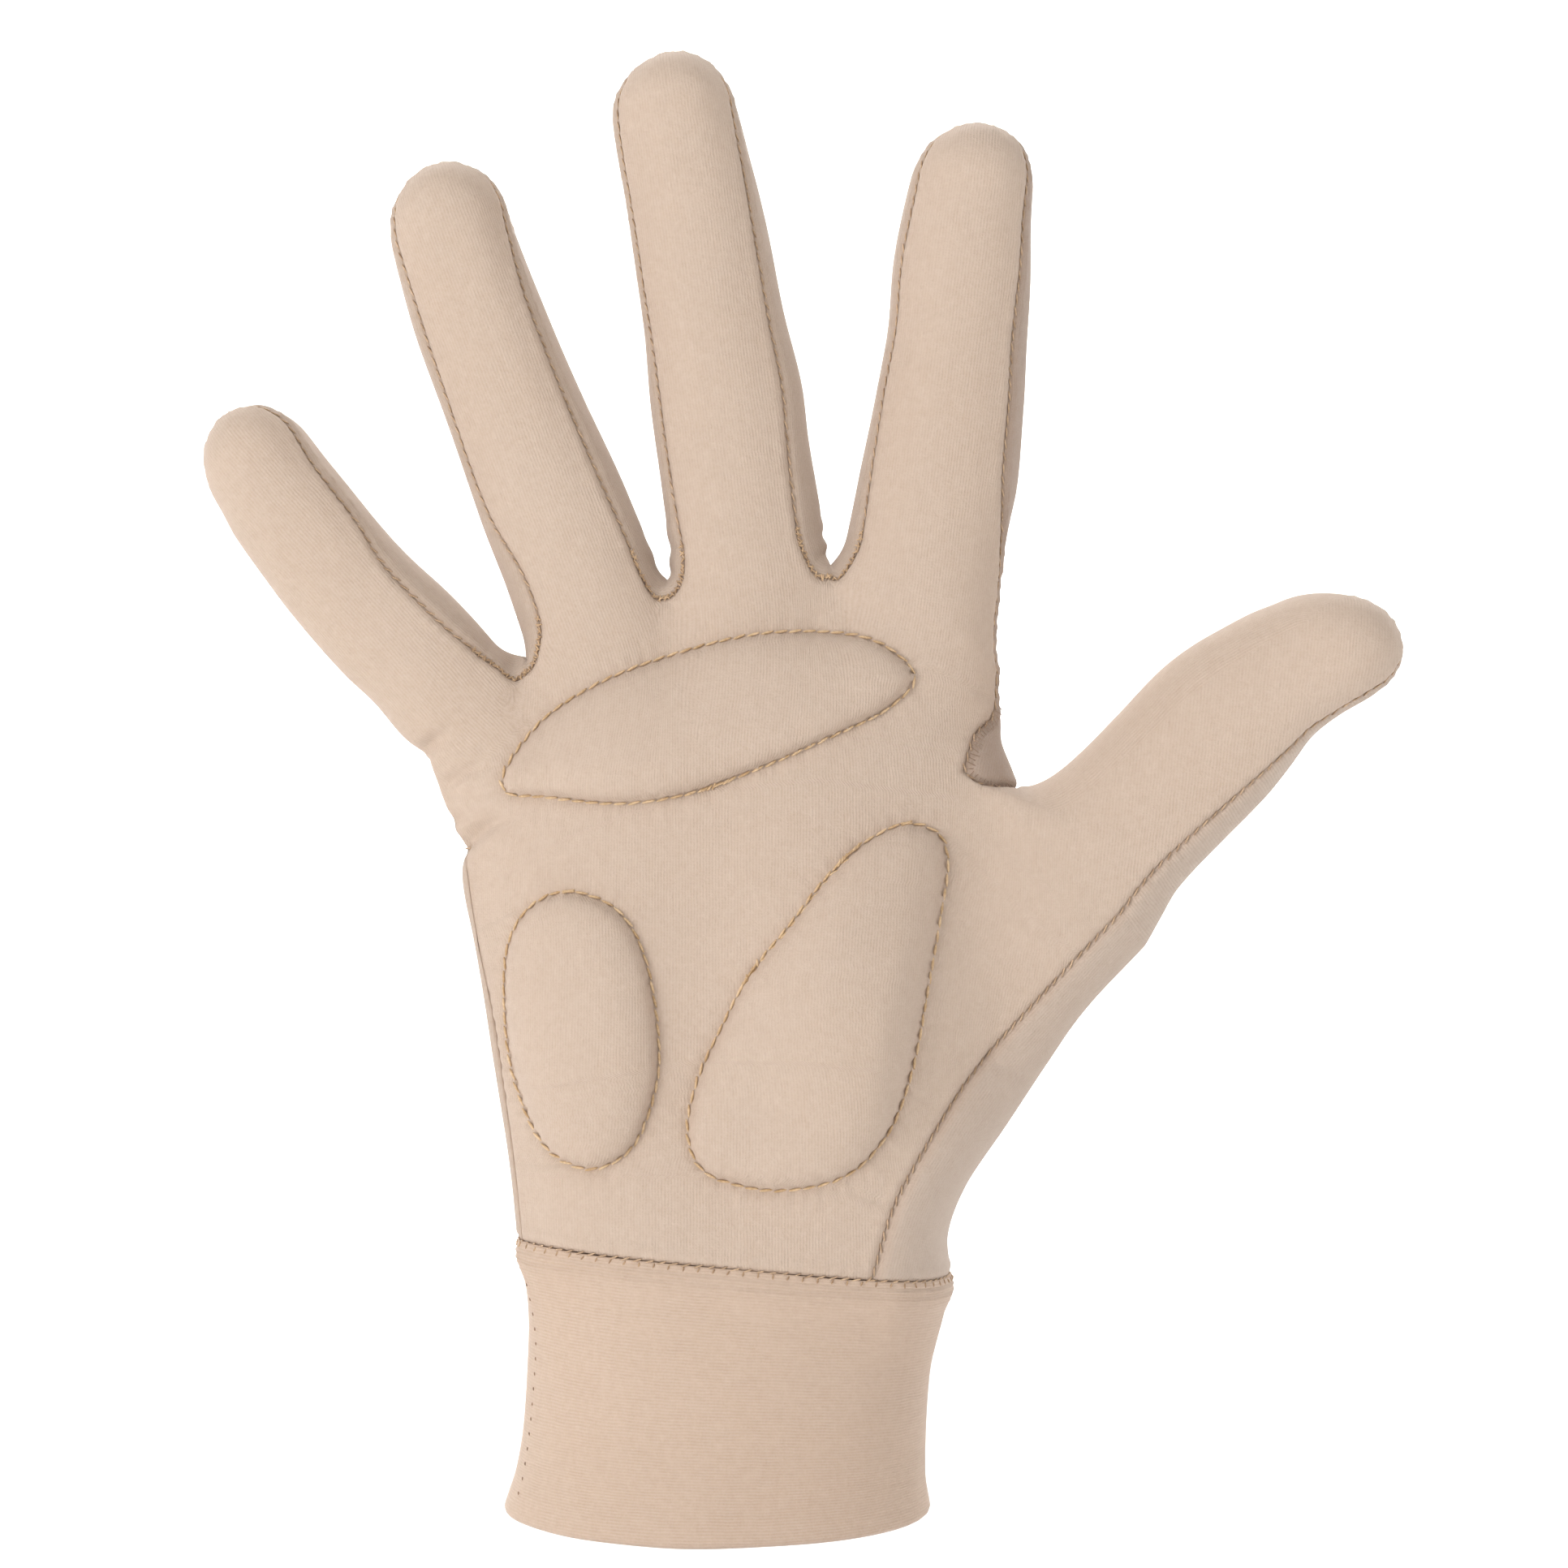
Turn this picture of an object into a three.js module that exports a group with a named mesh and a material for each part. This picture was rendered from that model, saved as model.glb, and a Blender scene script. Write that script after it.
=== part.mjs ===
// A padded skating glove for the right hand, worn with the fingers spread.
// Millimetres. +Z runs from the wrist to the fingertips, the palm faces -Y and the thumb points to +X.
// The origin is the centre of the cuff's opening, where the wrist goes in.
import * as THREE from "three";

// Driving sizes of the hand part
const CUFF_HEIGHT = 41;
const PALM_WIDTH = 80;
const PALM_HEIGHT = 100;
const PALM_DEPTH = 30;

// Knitted fabric and seams
const FABRIC_WALL = 1.3;
const SEAM_GAP = 0.3;
const FINGER_SQUARENESS = 2.2;
const PALM_SQUARENESS = 2.4;

// Bands of the cuff: a folded double layer with a rolled hem
const CUFF_WIDTH = 62;
const CUFF_DEPTH = 45;
const CUFF_WALL = 2.6;
const HEM_BULGE = 1.4;
const CUFF_SHIFT = 2.3;
const SEAM_SLANT = 0.09;

// Pads and the pockets that hold them
const PAD_HEIGHT = 3.6;
const PAD_EDGE = 7;
const PAD_BACKING = 1.5;
const PAD_CLEARANCE = 0.4;

// How far from a crotch a finger's side reaches its own round section
const WEB_ROUNDING = 7;

// Steps of the mesh
const PALM_ROWS = 20;
const THUMB_ROOT_ROW = 15;
const PINCH_ROW = 16;
const FINGER_ROWS = 10;
const TIP_ROWS = 3;
const FRONT_STEPS = 5;
const SIDE_STEPS = 3;
const OUTLINE_STEPS = 72;
const POCKET_EDGE_PULL = 1.5;

// Fingers. rootX is a share of PALM_WIDTH and rootZ one of PALM_HEIGHT above the cuff. lean is the angle in
// degrees from upright towards the thumb. dome is the share of the length that the round tip takes.
// In the sections, at is a share of the finger's length, left and right are shares of its width measured from
// its axis, and leftSeam and rightSeam are the places of the front seams as shares of left and right.
const FINGERS = {
  little: {
    rootX: -0.443, rootZ: 0.81, lean: -41.4,
    length: 59.6, width: 19.5, depth: 17.2, forward: 0, curl: 6, dome: 0.16,
    sections: [
      { at: 0.0, left: 0.6, right: 0.41, leftSeam: 0.93, rightSeam: 0.72 },
      { at: 0.12, left: 0.595, right: 0.41, leftSeam: 0.93, rightSeam: 0.67 },
      { at: 0.21, left: 0.59, right: 0.41, leftSeam: 0.93, rightSeam: 0.56 },
      { at: 0.31, left: 0.615, right: 0.4, leftSeam: 0.93, rightSeam: 0.51 },
      { at: 0.45, left: 0.615, right: 0.36, leftSeam: 0.93, rightSeam: 0.54 },
      { at: 0.57, left: 0.6, right: 0.355, leftSeam: 0.93, rightSeam: 0.7 },
      { at: 0.75, left: 0.535, right: 0.385, leftSeam: 0.93, rightSeam: 0.76 },
      { at: 0.85, left: 0.49, right: 0.41, leftSeam: 0.95, rightSeam: 0.85 },
      { at: 1.0, left: 0.49, right: 0.41, leftSeam: 1, rightSeam: 1 },
    ],
  },
  ring: {
    rootX: -0.221, rootZ: 0.944, lean: -20.4,
    length: 73.4, width: 21, depth: 18.6, forward: 0, curl: 7, dome: 0.13,
    sections: [
      { at: 0.0, left: 0.58, right: 0.49, leftSeam: 0.72, rightSeam: 0.82 },
      { at: 0.14, left: 0.56, right: 0.49, leftSeam: 0.73, rightSeam: 0.76 },
      { at: 0.28, left: 0.57, right: 0.48, leftSeam: 0.86, rightSeam: 0.71 },
      { at: 0.45, left: 0.55, right: 0.425, leftSeam: 0.9, rightSeam: 0.74 },
      { at: 0.66, left: 0.545, right: 0.39, leftSeam: 0.86, rightSeam: 0.76 },
      { at: 0.82, left: 0.5, right: 0.385, leftSeam: 0.88, rightSeam: 0.9 },
      { at: 0.92, left: 0.475, right: 0.395, leftSeam: 0.9, rightSeam: 0.97 },
      { at: 1.0, left: 0.475, right: 0.395, leftSeam: 1, rightSeam: 1 },
    ],
  },
  middle: {
    rootX: 0.038, rootZ: 1.042, lean: -7.9,
    length: 77, width: 22, depth: 19.2, forward: 0, curl: 7, dome: 0.12,
    sections: [
      { at: 0.0, left: 0.478, right: 0.575, leftSeam: 0.8, rightSeam: 0.72 },
      { at: 0.1, left: 0.478, right: 0.57, leftSeam: 0.845, rightSeam: 0.705 },
      { at: 0.22, left: 0.48, right: 0.56, leftSeam: 0.855, rightSeam: 0.735 },
      { at: 0.33, left: 0.475, right: 0.565, leftSeam: 0.865, rightSeam: 0.76 },
      { at: 0.48, left: 0.453, right: 0.515, leftSeam: 0.9, rightSeam: 0.78 },
      { at: 0.7, left: 0.453, right: 0.464, leftSeam: 0.93, rightSeam: 0.82 },
      { at: 0.83, left: 0.458, right: 0.406, leftSeam: 0.93, rightSeam: 0.88 },
      { at: 0.92, left: 0.465, right: 0.365, leftSeam: 0.93, rightSeam: 0.96 },
      { at: 1.0, left: 0.465, right: 0.36, leftSeam: 1, rightSeam: 1 },
    ],
  },
  index: {
    rootX: 0.366, rootZ: 0.956, lean: 7.6,
    length: 74.5, width: 23, depth: 19.2, forward: 0, curl: 7, dome: 0.12,
    sections: [
      { at: 0.0, left: 0.55, right: 0.52, leftSeam: 0.8, rightSeam: 0.97 },
      { at: 0.1, left: 0.535, right: 0.51, leftSeam: 0.82, rightSeam: 0.97 },
      { at: 0.2, left: 0.51, right: 0.515, leftSeam: 0.85, rightSeam: 0.9 },
      { at: 0.3, left: 0.493, right: 0.535, leftSeam: 0.87, rightSeam: 0.8 },
      { at: 0.45, left: 0.46, right: 0.512, leftSeam: 0.9, rightSeam: 0.78 },
      { at: 0.57, left: 0.443, right: 0.475, leftSeam: 0.9, rightSeam: 0.78 },
      { at: 0.7, left: 0.462, right: 0.446, leftSeam: 0.9, rightSeam: 0.8 },
      { at: 0.83, left: 0.438, right: 0.388, leftSeam: 0.9, rightSeam: 0.85 },
      { at: 0.92, left: 0.42, right: 0.37, leftSeam: 0.92, rightSeam: 0.9 },
      { at: 1.0, left: 0.42, right: 0.38, leftSeam: 1, rightSeam: 1 },
    ],
  },
  thumb: {
    rootX: 0.4725, rootZ: 0.444, lean: 50.1,
    length: 80.6, width: 24.5, depth: 20.4, forward: 3, curl: 10, dome: 0.133,
    sections: [
      { at: 0.0, left: 0.7, right: 0.76, leftSeam: 0.65, rightSeam: 0.54 },
      { at: 0.14, left: 0.66, right: 0.675, leftSeam: 0.65, rightSeam: 0.54 },
      { at: 0.26, left: 0.62, right: 0.59, leftSeam: 0.65, rightSeam: 0.534 },
      { at: 0.32, left: 0.56, right: 0.53, leftSeam: 0.65, rightSeam: 0.53 },
      { at: 0.38, left: 0.55, right: 0.463, leftSeam: 0.65, rightSeam: 0.55 },
      { at: 0.5, left: 0.583, right: 0.406, leftSeam: 0.65, rightSeam: 0.58 },
      { at: 0.62, left: 0.625, right: 0.364, leftSeam: 0.65, rightSeam: 0.62 },
      { at: 0.69, left: 0.62, right: 0.319, leftSeam: 0.65, rightSeam: 0.68 },
      { at: 0.75, left: 0.59, right: 0.269, leftSeam: 0.65, rightSeam: 0.75 },
      { at: 0.81, left: 0.548, right: 0.266, leftSeam: 0.65, rightSeam: 0.83 },
      { at: 0.87, left: 0.503, right: 0.291, leftSeam: 0.65, rightSeam: 0.85 },
      { at: 1.0, left: 0.43, right: 0.36, leftSeam: 1, rightSeam: 1 },
    ],
  },
};

// Lines on the palm side from the cuff seam to a crotch or a finger's root, with x a share of PALM_WIDTH and
// z a share of PALM_HEIGHT above the cuff. Each is the edge between two strips of the palm.
const STRIP_EDGES = {
  ulnar: [
    { x: -0.369, z: 0.03 }, { x: -0.398, z: 0.21 }, { x: -0.424, z: 0.35 }, { x: -0.456, z: 0.478 },
    { x: -0.474, z: 0.57 }, { x: -0.479, z: 0.609 }, { x: -0.518, z: 0.685 }, { x: -0.545, z: 0.744 },
  ],
  little_ring: [{ x: -0.19, z: 0.016 }, { x: -0.24, z: 0.4 }, { x: -0.32, z: 0.7 }, { x: -0.366, z: 0.871 }],
  ring_middle: [
    { x: -0.01, z: 0.003 }, { x: -0.03, z: 0.4 }, { x: -0.075, z: 0.75 }, { x: -0.102, z: 0.983 },
  ],
  middle_index: [{ x: 0.12, z: -0.007 }, { x: 0.15, z: 0.4 }, { x: 0.185, z: 0.75 }, { x: 0.199, z: 1.014 }],
  index_thumb: [{ x: 0.2, z: -0.013 }, { x: 0.28, z: 0.3 }, { x: 0.38, z: 0.57 }, { x: 0.449, z: 0.731 }],
  index_side: [{ x: 0.449, z: 0.731 }, { x: 0.473, z: 0.78 }, { x: 0.506, z: 0.806 }, { x: 0.515, z: 0.871 }],
  thumb_outer: [
    { x: 0.276, z: -0.018 }, { x: 0.319, z: 0.093 }, { x: 0.384, z: 0.185 }, { x: 0.463, z: 0.278 },
    { x: 0.6, z: 0.4 }, { x: 0.735, z: 0.515 },
  ],
};

// Outermost lines of the palm on its two sides, in the same shares.
const SIDE_OUTLINES = {
  ulnar: [
    { x: -0.379, z: 0.03 }, { x: -0.411, z: 0.21 }, { x: -0.44, z: 0.35 }, { x: -0.463, z: 0.478 },
    { x: -0.493, z: 0.575 }, { x: -0.483, z: 0.61 }, { x: -0.532, z: 0.68 }, { x: -0.558, z: 0.737 },
  ],
  thumb: [
    { x: 0.427, z: -0.027 }, { x: 0.424, z: 0.03 }, { x: 0.455, z: 0.102 }, { x: 0.536, z: 0.2 },
    { x: 0.62, z: 0.298 }, { x: 0.712, z: 0.395 }, { x: 0.79, z: 0.47 },
  ],
};

// Top of the fabric fold between two fingers or between index and thumb, in the same shares. front and back
// are how far the crotch's two points lie from the middle plane in millimetres. Without them the fold runs from
// the palm's surface to the back of the hand.
const WEB_RIDGES = {
  little_ring: { x: -0.36, z: 0.896, front: 6, back: 6 },
  ring_middle: { x: -0.103, z: 1.007, front: 6, back: 6 },
  middle_index: { x: 0.203, z: 1.035, front: 6, back: 6 },
  index_thumb: { x: 0.549, z: 0.694 },
};

// Depth of the palm at heights given as shares of PALM_HEIGHT: left and right are the edges of its round
// section as shares of PALM_WIDTH, front and back are shares of PALM_DEPTH.
const PALM_SECTIONS = [
  { at: -0.04, left: -0.379, right: 0.427, front: 0.7, back: 0.7 },
  { at: 0.2, left: -0.411, right: 0.47, front: 0.6, back: 0.58 },
  { at: 0.4, left: -0.447, right: 0.53, front: 0.54, back: 0.5 },
  { at: 0.6, left: -0.488, right: 0.55, front: 0.5, back: 0.48 },
  { at: 0.8, left: -0.58, right: 0.53, front: 0.45, back: 0.43 },
  { at: 1.02, left: -0.64, right: 0.52, front: 0.38, back: 0.38 },
];

// Soft swellings of the hand under the fabric: x, z and the radii are shares as above, turn is in degrees and
// height is a share of PALM_DEPTH.
const SWELLINGS = [
  { x: 0.27, z: 0.34, wide: 0.24, tall: 0.36, turn: -32, height: 0.2 },
  { x: -0.27, z: 0.33, wide: 0.2, tall: 0.3, turn: 4, height: 0.07 },
  { x: 0.0, z: 0.46, wide: 0.16, tall: 0.3, turn: 0, height: -0.07 },
];

// Folds of the palm side at the little finger's root. Each runs from x, z towards toX, toZ, in the same
// shares, with its depth and its width in millimetres.
const FOLDS = [
  { x: -0.565, z: 0.75, toX: -0.49, toZ: 0.79, depth: 0.9, width: 2.6 },
  { x: -0.54, z: 0.695, toX: -0.4, toZ: 0.74, depth: 1.1, width: 2.8 },
  { x: -0.5, z: 0.625, toX: -0.385, toZ: 0.665, depth: 1.6, width: 3.2 },
];

// Pads, seen from the palm side: the middle as palm shares, the size over all, and the outline as shares of
// that size from the middle, going round anticlockwise from the top.
const PADS = {
  knuckle_pad: {
    x: -0.024, z: 0.804, wide: 61.1, tall: 25.6,
    outline: [
      { x: 0.183, z: 0.495 }, { x: -0.063, z: 0.381 }, { x: -0.278, z: 0.181 }, { x: -0.416, z: -0.048 },
      { x: -0.5, z: -0.362 }, { x: -0.486, z: -0.435 }, { x: -0.392, z: -0.462 }, { x: -0.213, z: -0.5 },
      { x: -0.053, z: -0.448 }, { x: 0.127, z: -0.295 }, { x: 0.276, z: -0.138 }, { x: 0.446, z: 0.067 },
      { x: 0.5, z: 0.233 }, { x: 0.408, z: 0.438 },
    ],
  },
  heel_pad: {
    x: -0.256, z: 0.345, wide: 23.4, tall: 40.5,
    outline: [
      { x: -0.068, z: 0.5 }, { x: -0.302, z: 0.455 }, { x: -0.458, z: 0.328 }, { x: -0.5, z: 0.096 },
      { x: -0.432, z: -0.196 }, { x: -0.214, z: -0.434 }, { x: 0.063, z: -0.5 }, { x: 0.313, z: -0.428 },
      { x: 0.474, z: -0.205 }, { x: 0.49, z: -0.027 }, { x: 0.39, z: 0.286 }, { x: 0.229, z: 0.434 },
    ],
  },
  thumb_pad: {
    x: 0.179, z: 0.381, wide: 38.2, tall: 53.3,
    outline: [
      { x: 0.35, z: 0.5 }, { x: 0.174, z: 0.447 }, { x: 0.034, z: 0.356 }, { x: -0.11, z: 0.225 },
      { x: -0.264, z: 0.086 }, { x: -0.379, z: -0.068 }, { x: -0.468, z: -0.212 }, { x: -0.5, z: -0.351 },
      { x: -0.446, z: -0.445 }, { x: -0.292, z: -0.491 }, { x: -0.11, z: -0.5 }, { x: 0.113, z: -0.457 },
      { x: 0.267, z: -0.344 }, { x: 0.36, z: -0.175 }, { x: 0.42, z: 0.042 }, { x: 0.471, z: 0.246 },
      { x: 0.5, z: 0.392 }, { x: 0.471, z: 0.466 },
    ],
  },
};

// Cuff: rows from the seam to the hem, at is a share of the cuff's height, out is added to its half width and
// half depth in millimetres.
const CUFF_SECTIONS = [
  { at: 1.0, out: 0.2 },
  { at: 0.94, out: 0.9 },
  { at: 0.84, out: 0.0 },
  { at: 0.5, out: -0.5 },
  { at: 0.18, out: 0.1 },
  { at: 0.03, out: HEM_BULGE },
];

const COLOURS = { fabric: 0xd6bfae, side: 0xc9b2a1, cuff: 0xd9bfae, foam: 0xe8dccb };

// Smooth value of one column of a table at a place between its rows.
function column(rows, at, name) {
  const last = rows.length - 1;
  const place = THREE.MathUtils.clamp(at, rows[0].at, rows[last].at);
  let i = 0;
  while (i < last - 1 && place > rows[i + 1].at) i += 1;
  const slope = (k) => {
    const before = rows[Math.max(k - 1, 0)];
    const after = rows[Math.min(k + 1, last)];
    return (after[name] - before[name]) / (after.at - before.at);
  };
  const span = rows[i + 1].at - rows[i].at;
  const t = (place - rows[i].at) / span;
  const risen = t * t * (3 - 2 * t);
  const from = (t - 2 * t * t + t * t * t) * slope(i) * span;
  const to = (t * t * t - t * t) * slope(i + 1) * span;
  return rows[i][name] * (1 - risen) + rows[i + 1][name] * risen + from + to;
}

const smooth = (t) => THREE.MathUtils.smoothstep(t, 0, 1);
const mix = THREE.MathUtils.lerp;
const degrees = THREE.MathUtils.degToRad;
const palmX = (share) => share * PALM_WIDTH;
const palmZ = (share) => CUFF_HEIGHT + share * PALM_HEIGHT;

// Points at even lengths along a line of shares on the palm.
function edgePoints(line, steps) {
  const curve = new THREE.CatmullRomCurve3(line.map((p) => new THREE.Vector3(palmX(p.x), 0, palmZ(p.z))));
  return curve.getSpacedPoints(steps);
}

// One side of a round section: the cosine or sine of an angle, squared off by the given power.
const squared = (value, power) => Math.sign(value) * Math.abs(value) ** (2 / power);

// Axis frame of a finger: its root, its direction and the direction across it.
function fingerFrame(finger) {
  const lean = degrees(finger.lean);
  return {
    root: new THREE.Vector3(palmX(finger.rootX), -finger.forward, palmZ(finger.rootZ)),
    along: new THREE.Vector3(Math.sin(lean), 0, Math.cos(lean)),
    across: new THREE.Vector3(Math.cos(lean), 0, -Math.sin(lean)),
  };
}

// Point on a finger's skin. The angle is 0 at its right side, 90 degrees in front and 180 at its left side.
function fingerPoint(finger, at, angle) {
  const { root, along, across } = fingerFrame(finger);
  const tip = Math.max(0, (at - 1 + finger.dome) / finger.dome);
  const closing = Math.sqrt(Math.max(0, 1 - tip * tip));
  const side = Math.cos(angle) > 0 ? "right" : "left";
  const half = column(finger.sections, at, side) * finger.width * closing;
  const forward = finger.curl * at * at;
  const point = root.clone().addScaledVector(along, at * finger.length);
  point.addScaledVector(across, half * squared(Math.cos(angle), FINGER_SQUARENESS));
  point.y -= forward + (finger.depth / 2) * closing * squared(Math.sin(angle), FINGER_SQUARENESS);
  return point;
}

// Angle of a seam measured from the finger's side. A side strip ends where its seams meet near the tip.
function seamAngle(finger, at, side) {
  const share = column(finger.sections, at, side + "Seam");
  return Math.acos(THREE.MathUtils.clamp(share, 0, 1) ** (FINGER_SQUARENESS / 2));
}

// Angle of a point in one quarter of the ring: front, right, back or left, with t from 0 to 1 through it.
function ringAngle(finger, at, quarter, t) {
  const right = seamAngle(finger, at, "right");
  const left = seamAngle(finger, at, "left");
  if (quarter === "front") return mix(Math.PI - left, right, t);
  if (quarter === "right") return mix(right, -right, t);
  if (quarter === "back") return mix(-right, left - Math.PI, t);
  return mix(Math.PI + left, Math.PI - left, t);
}

// Outline of a pad as even points on the palm, seen from the front.
function padOutline(pad) {
  const points = pad.outline.map(
    (p) => new THREE.Vector2(palmX(pad.x) + p.x * pad.wide, palmZ(pad.z) + p.z * pad.tall),
  );
  const curve = new THREE.CatmullRomCurve3(points.map((p) => new THREE.Vector3(p.x, 0, p.y)), true);
  return curve.getSpacedPoints(OUTLINE_STEPS).slice(1);
}

const PAD_OUTLINES = Object.fromEntries(Object.entries(PADS).map(([name, pad]) => [name, padOutline(pad)]));

// Nearest point of a closed outline to a place on the palm, and the distance to it, positive inside.
function nearestOnOutline(outline, x, z) {
  let best = { distance: Infinity };
  let inside = false;
  outline.forEach((a, i) => {
    const b = outline[(i + 1) % outline.length];
    const length = (b.x - a.x) ** 2 + (b.z - a.z) ** 2;
    const t = THREE.MathUtils.clamp(((x - a.x) * (b.x - a.x) + (z - a.z) * (b.z - a.z)) / length, 0, 1);
    const near = { x: mix(a.x, b.x, t), z: mix(a.z, b.z, t) };
    near.distance = Math.hypot(x - near.x, z - near.z);
    if (near.distance < best.distance) best = near;
    if (a.z > z !== b.z > z && x < a.x + ((z - a.z) / (b.z - a.z)) * (b.x - a.x)) inside = !inside;
  });
  best.distance *= inside ? 1 : -1;
  return best;
}

// How far out a pocket stands over its pad.
function pocketHeight(x, z) {
  let height = 0;
  for (const outline of Object.values(PAD_OUTLINES)) {
    const inside = THREE.MathUtils.clamp(nearestOnOutline(outline, x, z).distance / PAD_EDGE, 0, 1);
    height = Math.max(height, PAD_HEIGHT * Math.sqrt(1 - (1 - inside) ** 2));
  }
  return height;
}

// A place close to a pad's outline moves onto it, so that the stitched edge of the pocket is a clear line.
function onPocketEdge(x, z) {
  for (const outline of Object.values(PAD_OUTLINES)) {
    const near = nearestOnOutline(outline, x, z);
    if (Math.abs(near.distance) < POCKET_EDGE_PULL) return near;
  }
  return { x, z };
}

// Depth of the fabric over the palm or the back of the hand, measured from the middle plane.
function palmDepth(x, z, face) {
  const at = (z - CUFF_HEIGHT) / PALM_HEIGHT;
  const left = palmX(column(PALM_SECTIONS, at, "left"));
  const right = palmX(column(PALM_SECTIONS, at, "right"));
  const place = THREE.MathUtils.clamp((2 * x - left - right) / (right - left), -0.97, 0.97);
  const round = (1 - Math.abs(place) ** PALM_SQUARENESS) ** (1 / PALM_SQUARENESS);
  let depth = column(PALM_SECTIONS, at, face) * PALM_DEPTH * round;
  if (face === "back") return depth;
  for (const swelling of SWELLINGS) {
    const turn = degrees(swelling.turn);
    const dx = x - palmX(swelling.x);
    const dz = z - palmZ(swelling.z);
    const across = (dx * Math.cos(turn) - dz * Math.sin(turn)) / palmX(swelling.wide);
    const along = (dx * Math.sin(turn) + dz * Math.cos(turn)) / (swelling.tall * PALM_HEIGHT);
    depth += swelling.height * PALM_DEPTH * Math.exp(-(across ** 2 + along ** 2));
  }
  return depth;
}

// Depth of the folds at the little finger's root: valleys that fade out towards the palm.
function foldDepth(x, z) {
  return FOLDS.reduce((sum, fold) => {
    const dx = palmX(fold.toX - fold.x);
    const dz = (fold.toZ - fold.z) * PALM_HEIGHT;
    const length = Math.hypot(dx, dz);
    const along = ((x - palmX(fold.x)) * dx + (z - palmZ(fold.z)) * dz) / length ** 2;
    const off = ((x - palmX(fold.x)) * -dz + (z - palmZ(fold.z)) * dx) / length / fold.width;
    return sum + fold.depth * Math.exp(-(off ** 2)) * smooth(1.15 - along);
  }, 0);
}

// A point pushed in by the folds. fromFront is 0 on the palm side and goes to 1 round the side to the back.
function creased(point, fromFront) {
  const depth = foldDepth(point.x, point.z);
  point.x += depth * Math.sin(Math.PI * fromFront);
  point.y += depth * (1 - fromFront);
  return point;
}

// Height of the cuff's seam, which slants down towards the thumb.
const seamHeight = (x) => CUFF_HEIGHT - SEAM_SLANT * (x - CUFF_SHIFT);

// Where the strips of each finger start on its two sides. A web joins two fingers, other sides are free.
const ROOTS = {
  little: { left: "ulnar", right: "little_ring" },
  ring: { left: "little_ring", right: "ring_middle" },
  middle: { left: "ring_middle", right: "middle_index" },
  index: { left: "middle_index", right: "index_side" },
  thumb: { left: "index_thumb", right: "thumb_outer" },
};

// How much of the palm a root shapes below itself, as a share of its rows.
const FINGER_REACH = 0.25;
const THUMB_REACH = 0.8;

const rootRow = (name) => (name === "thumb" ? THUMB_ROOT_ROW : PALM_ROWS);

// Lines of the strips' edges by row. The index finger's thumb side follows two lines, one after the other.
const EDGE_ROWS = Object.fromEntries(
  Object.entries(STRIP_EDGES).map(([name, line]) => {
    const lower = name === "index_thumb" || name === "thumb_outer";
    const upper = name === "index_side";
    return [name, edgePoints(line, lower ? THUMB_ROOT_ROW : upper ? PALM_ROWS - THUMB_ROOT_ROW : PALM_ROWS)];
  }),
);
const SIDE_ROWS = {
  ulnar: edgePoints(SIDE_OUTLINES.ulnar, PALM_ROWS),
  thumb_outer: edgePoints(SIDE_OUTLINES.thumb, THUMB_ROOT_ROW),
};

function edgeAt(line, row) {
  if (line !== "index_side") return EDGE_ROWS[line][row];
  return row < THUMB_ROOT_ROW ? EDGE_ROWS.index_thumb[row] : EDGE_ROWS.index_side[row - THUMB_ROOT_ROW];
}

// Place of a palm point along a finger's axis, as a share of the finger's length.
function shareAlong(finger, point) {
  const { root, along } = fingerFrame(finger);
  return point.clone().sub(root).dot(along) / finger.length;
}

// Front or back point of a finger's root on one side.
function rootPoint(name, side, face) {
  const finger = FINGERS[name];
  const line = ROOTS[name][side];
  const place = edgeAt(line, rootRow(name));
  if (WEB_RIDGES[line]) return webPoint(line, face === "front" ? 0 : 1);
  const at = shareAlong(finger, place);
  const angle = ringAngle(finger, at, side, (side === "right") === (face === "front") ? 0 : 1);
  return new THREE.Vector3(place.x, fingerPoint(finger, at, angle).y, place.z);
}

// A web's fold from its front point over the ridge to its back point.
function webPoint(line, t) {
  const ridge = WEB_RIDGES[line];
  const foot = edgeAt(line, EDGE_ROWS[line].length - 1);
  const rise = Math.sin(Math.PI * t);
  const face = t < 0.5 ? "front" : "back";
  const depth = -Math.cos(Math.PI * t) * (ridge[face] ?? palmDepth(foot.x, foot.z, face));
  return new THREE.Vector3(
    mix(foot.x, palmX(ridge.x), rise),
    depth,
    mix(foot.z, palmZ(ridge.z), rise),
  );
}

// Share of a finger's length at one of its rows: even steps up to the dome, then even angles over it.
function rowShare(finger, rootShare, row) {
  const shoulder = 1 - finger.dome;
  if (row <= FINGER_ROWS) return mix(rootShare, shoulder, row / FINGER_ROWS);
  return shoulder + finger.dome * Math.sin(((row - FINGER_ROWS) / TIP_ROWS) * (Math.PI / 2));
}

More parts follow.
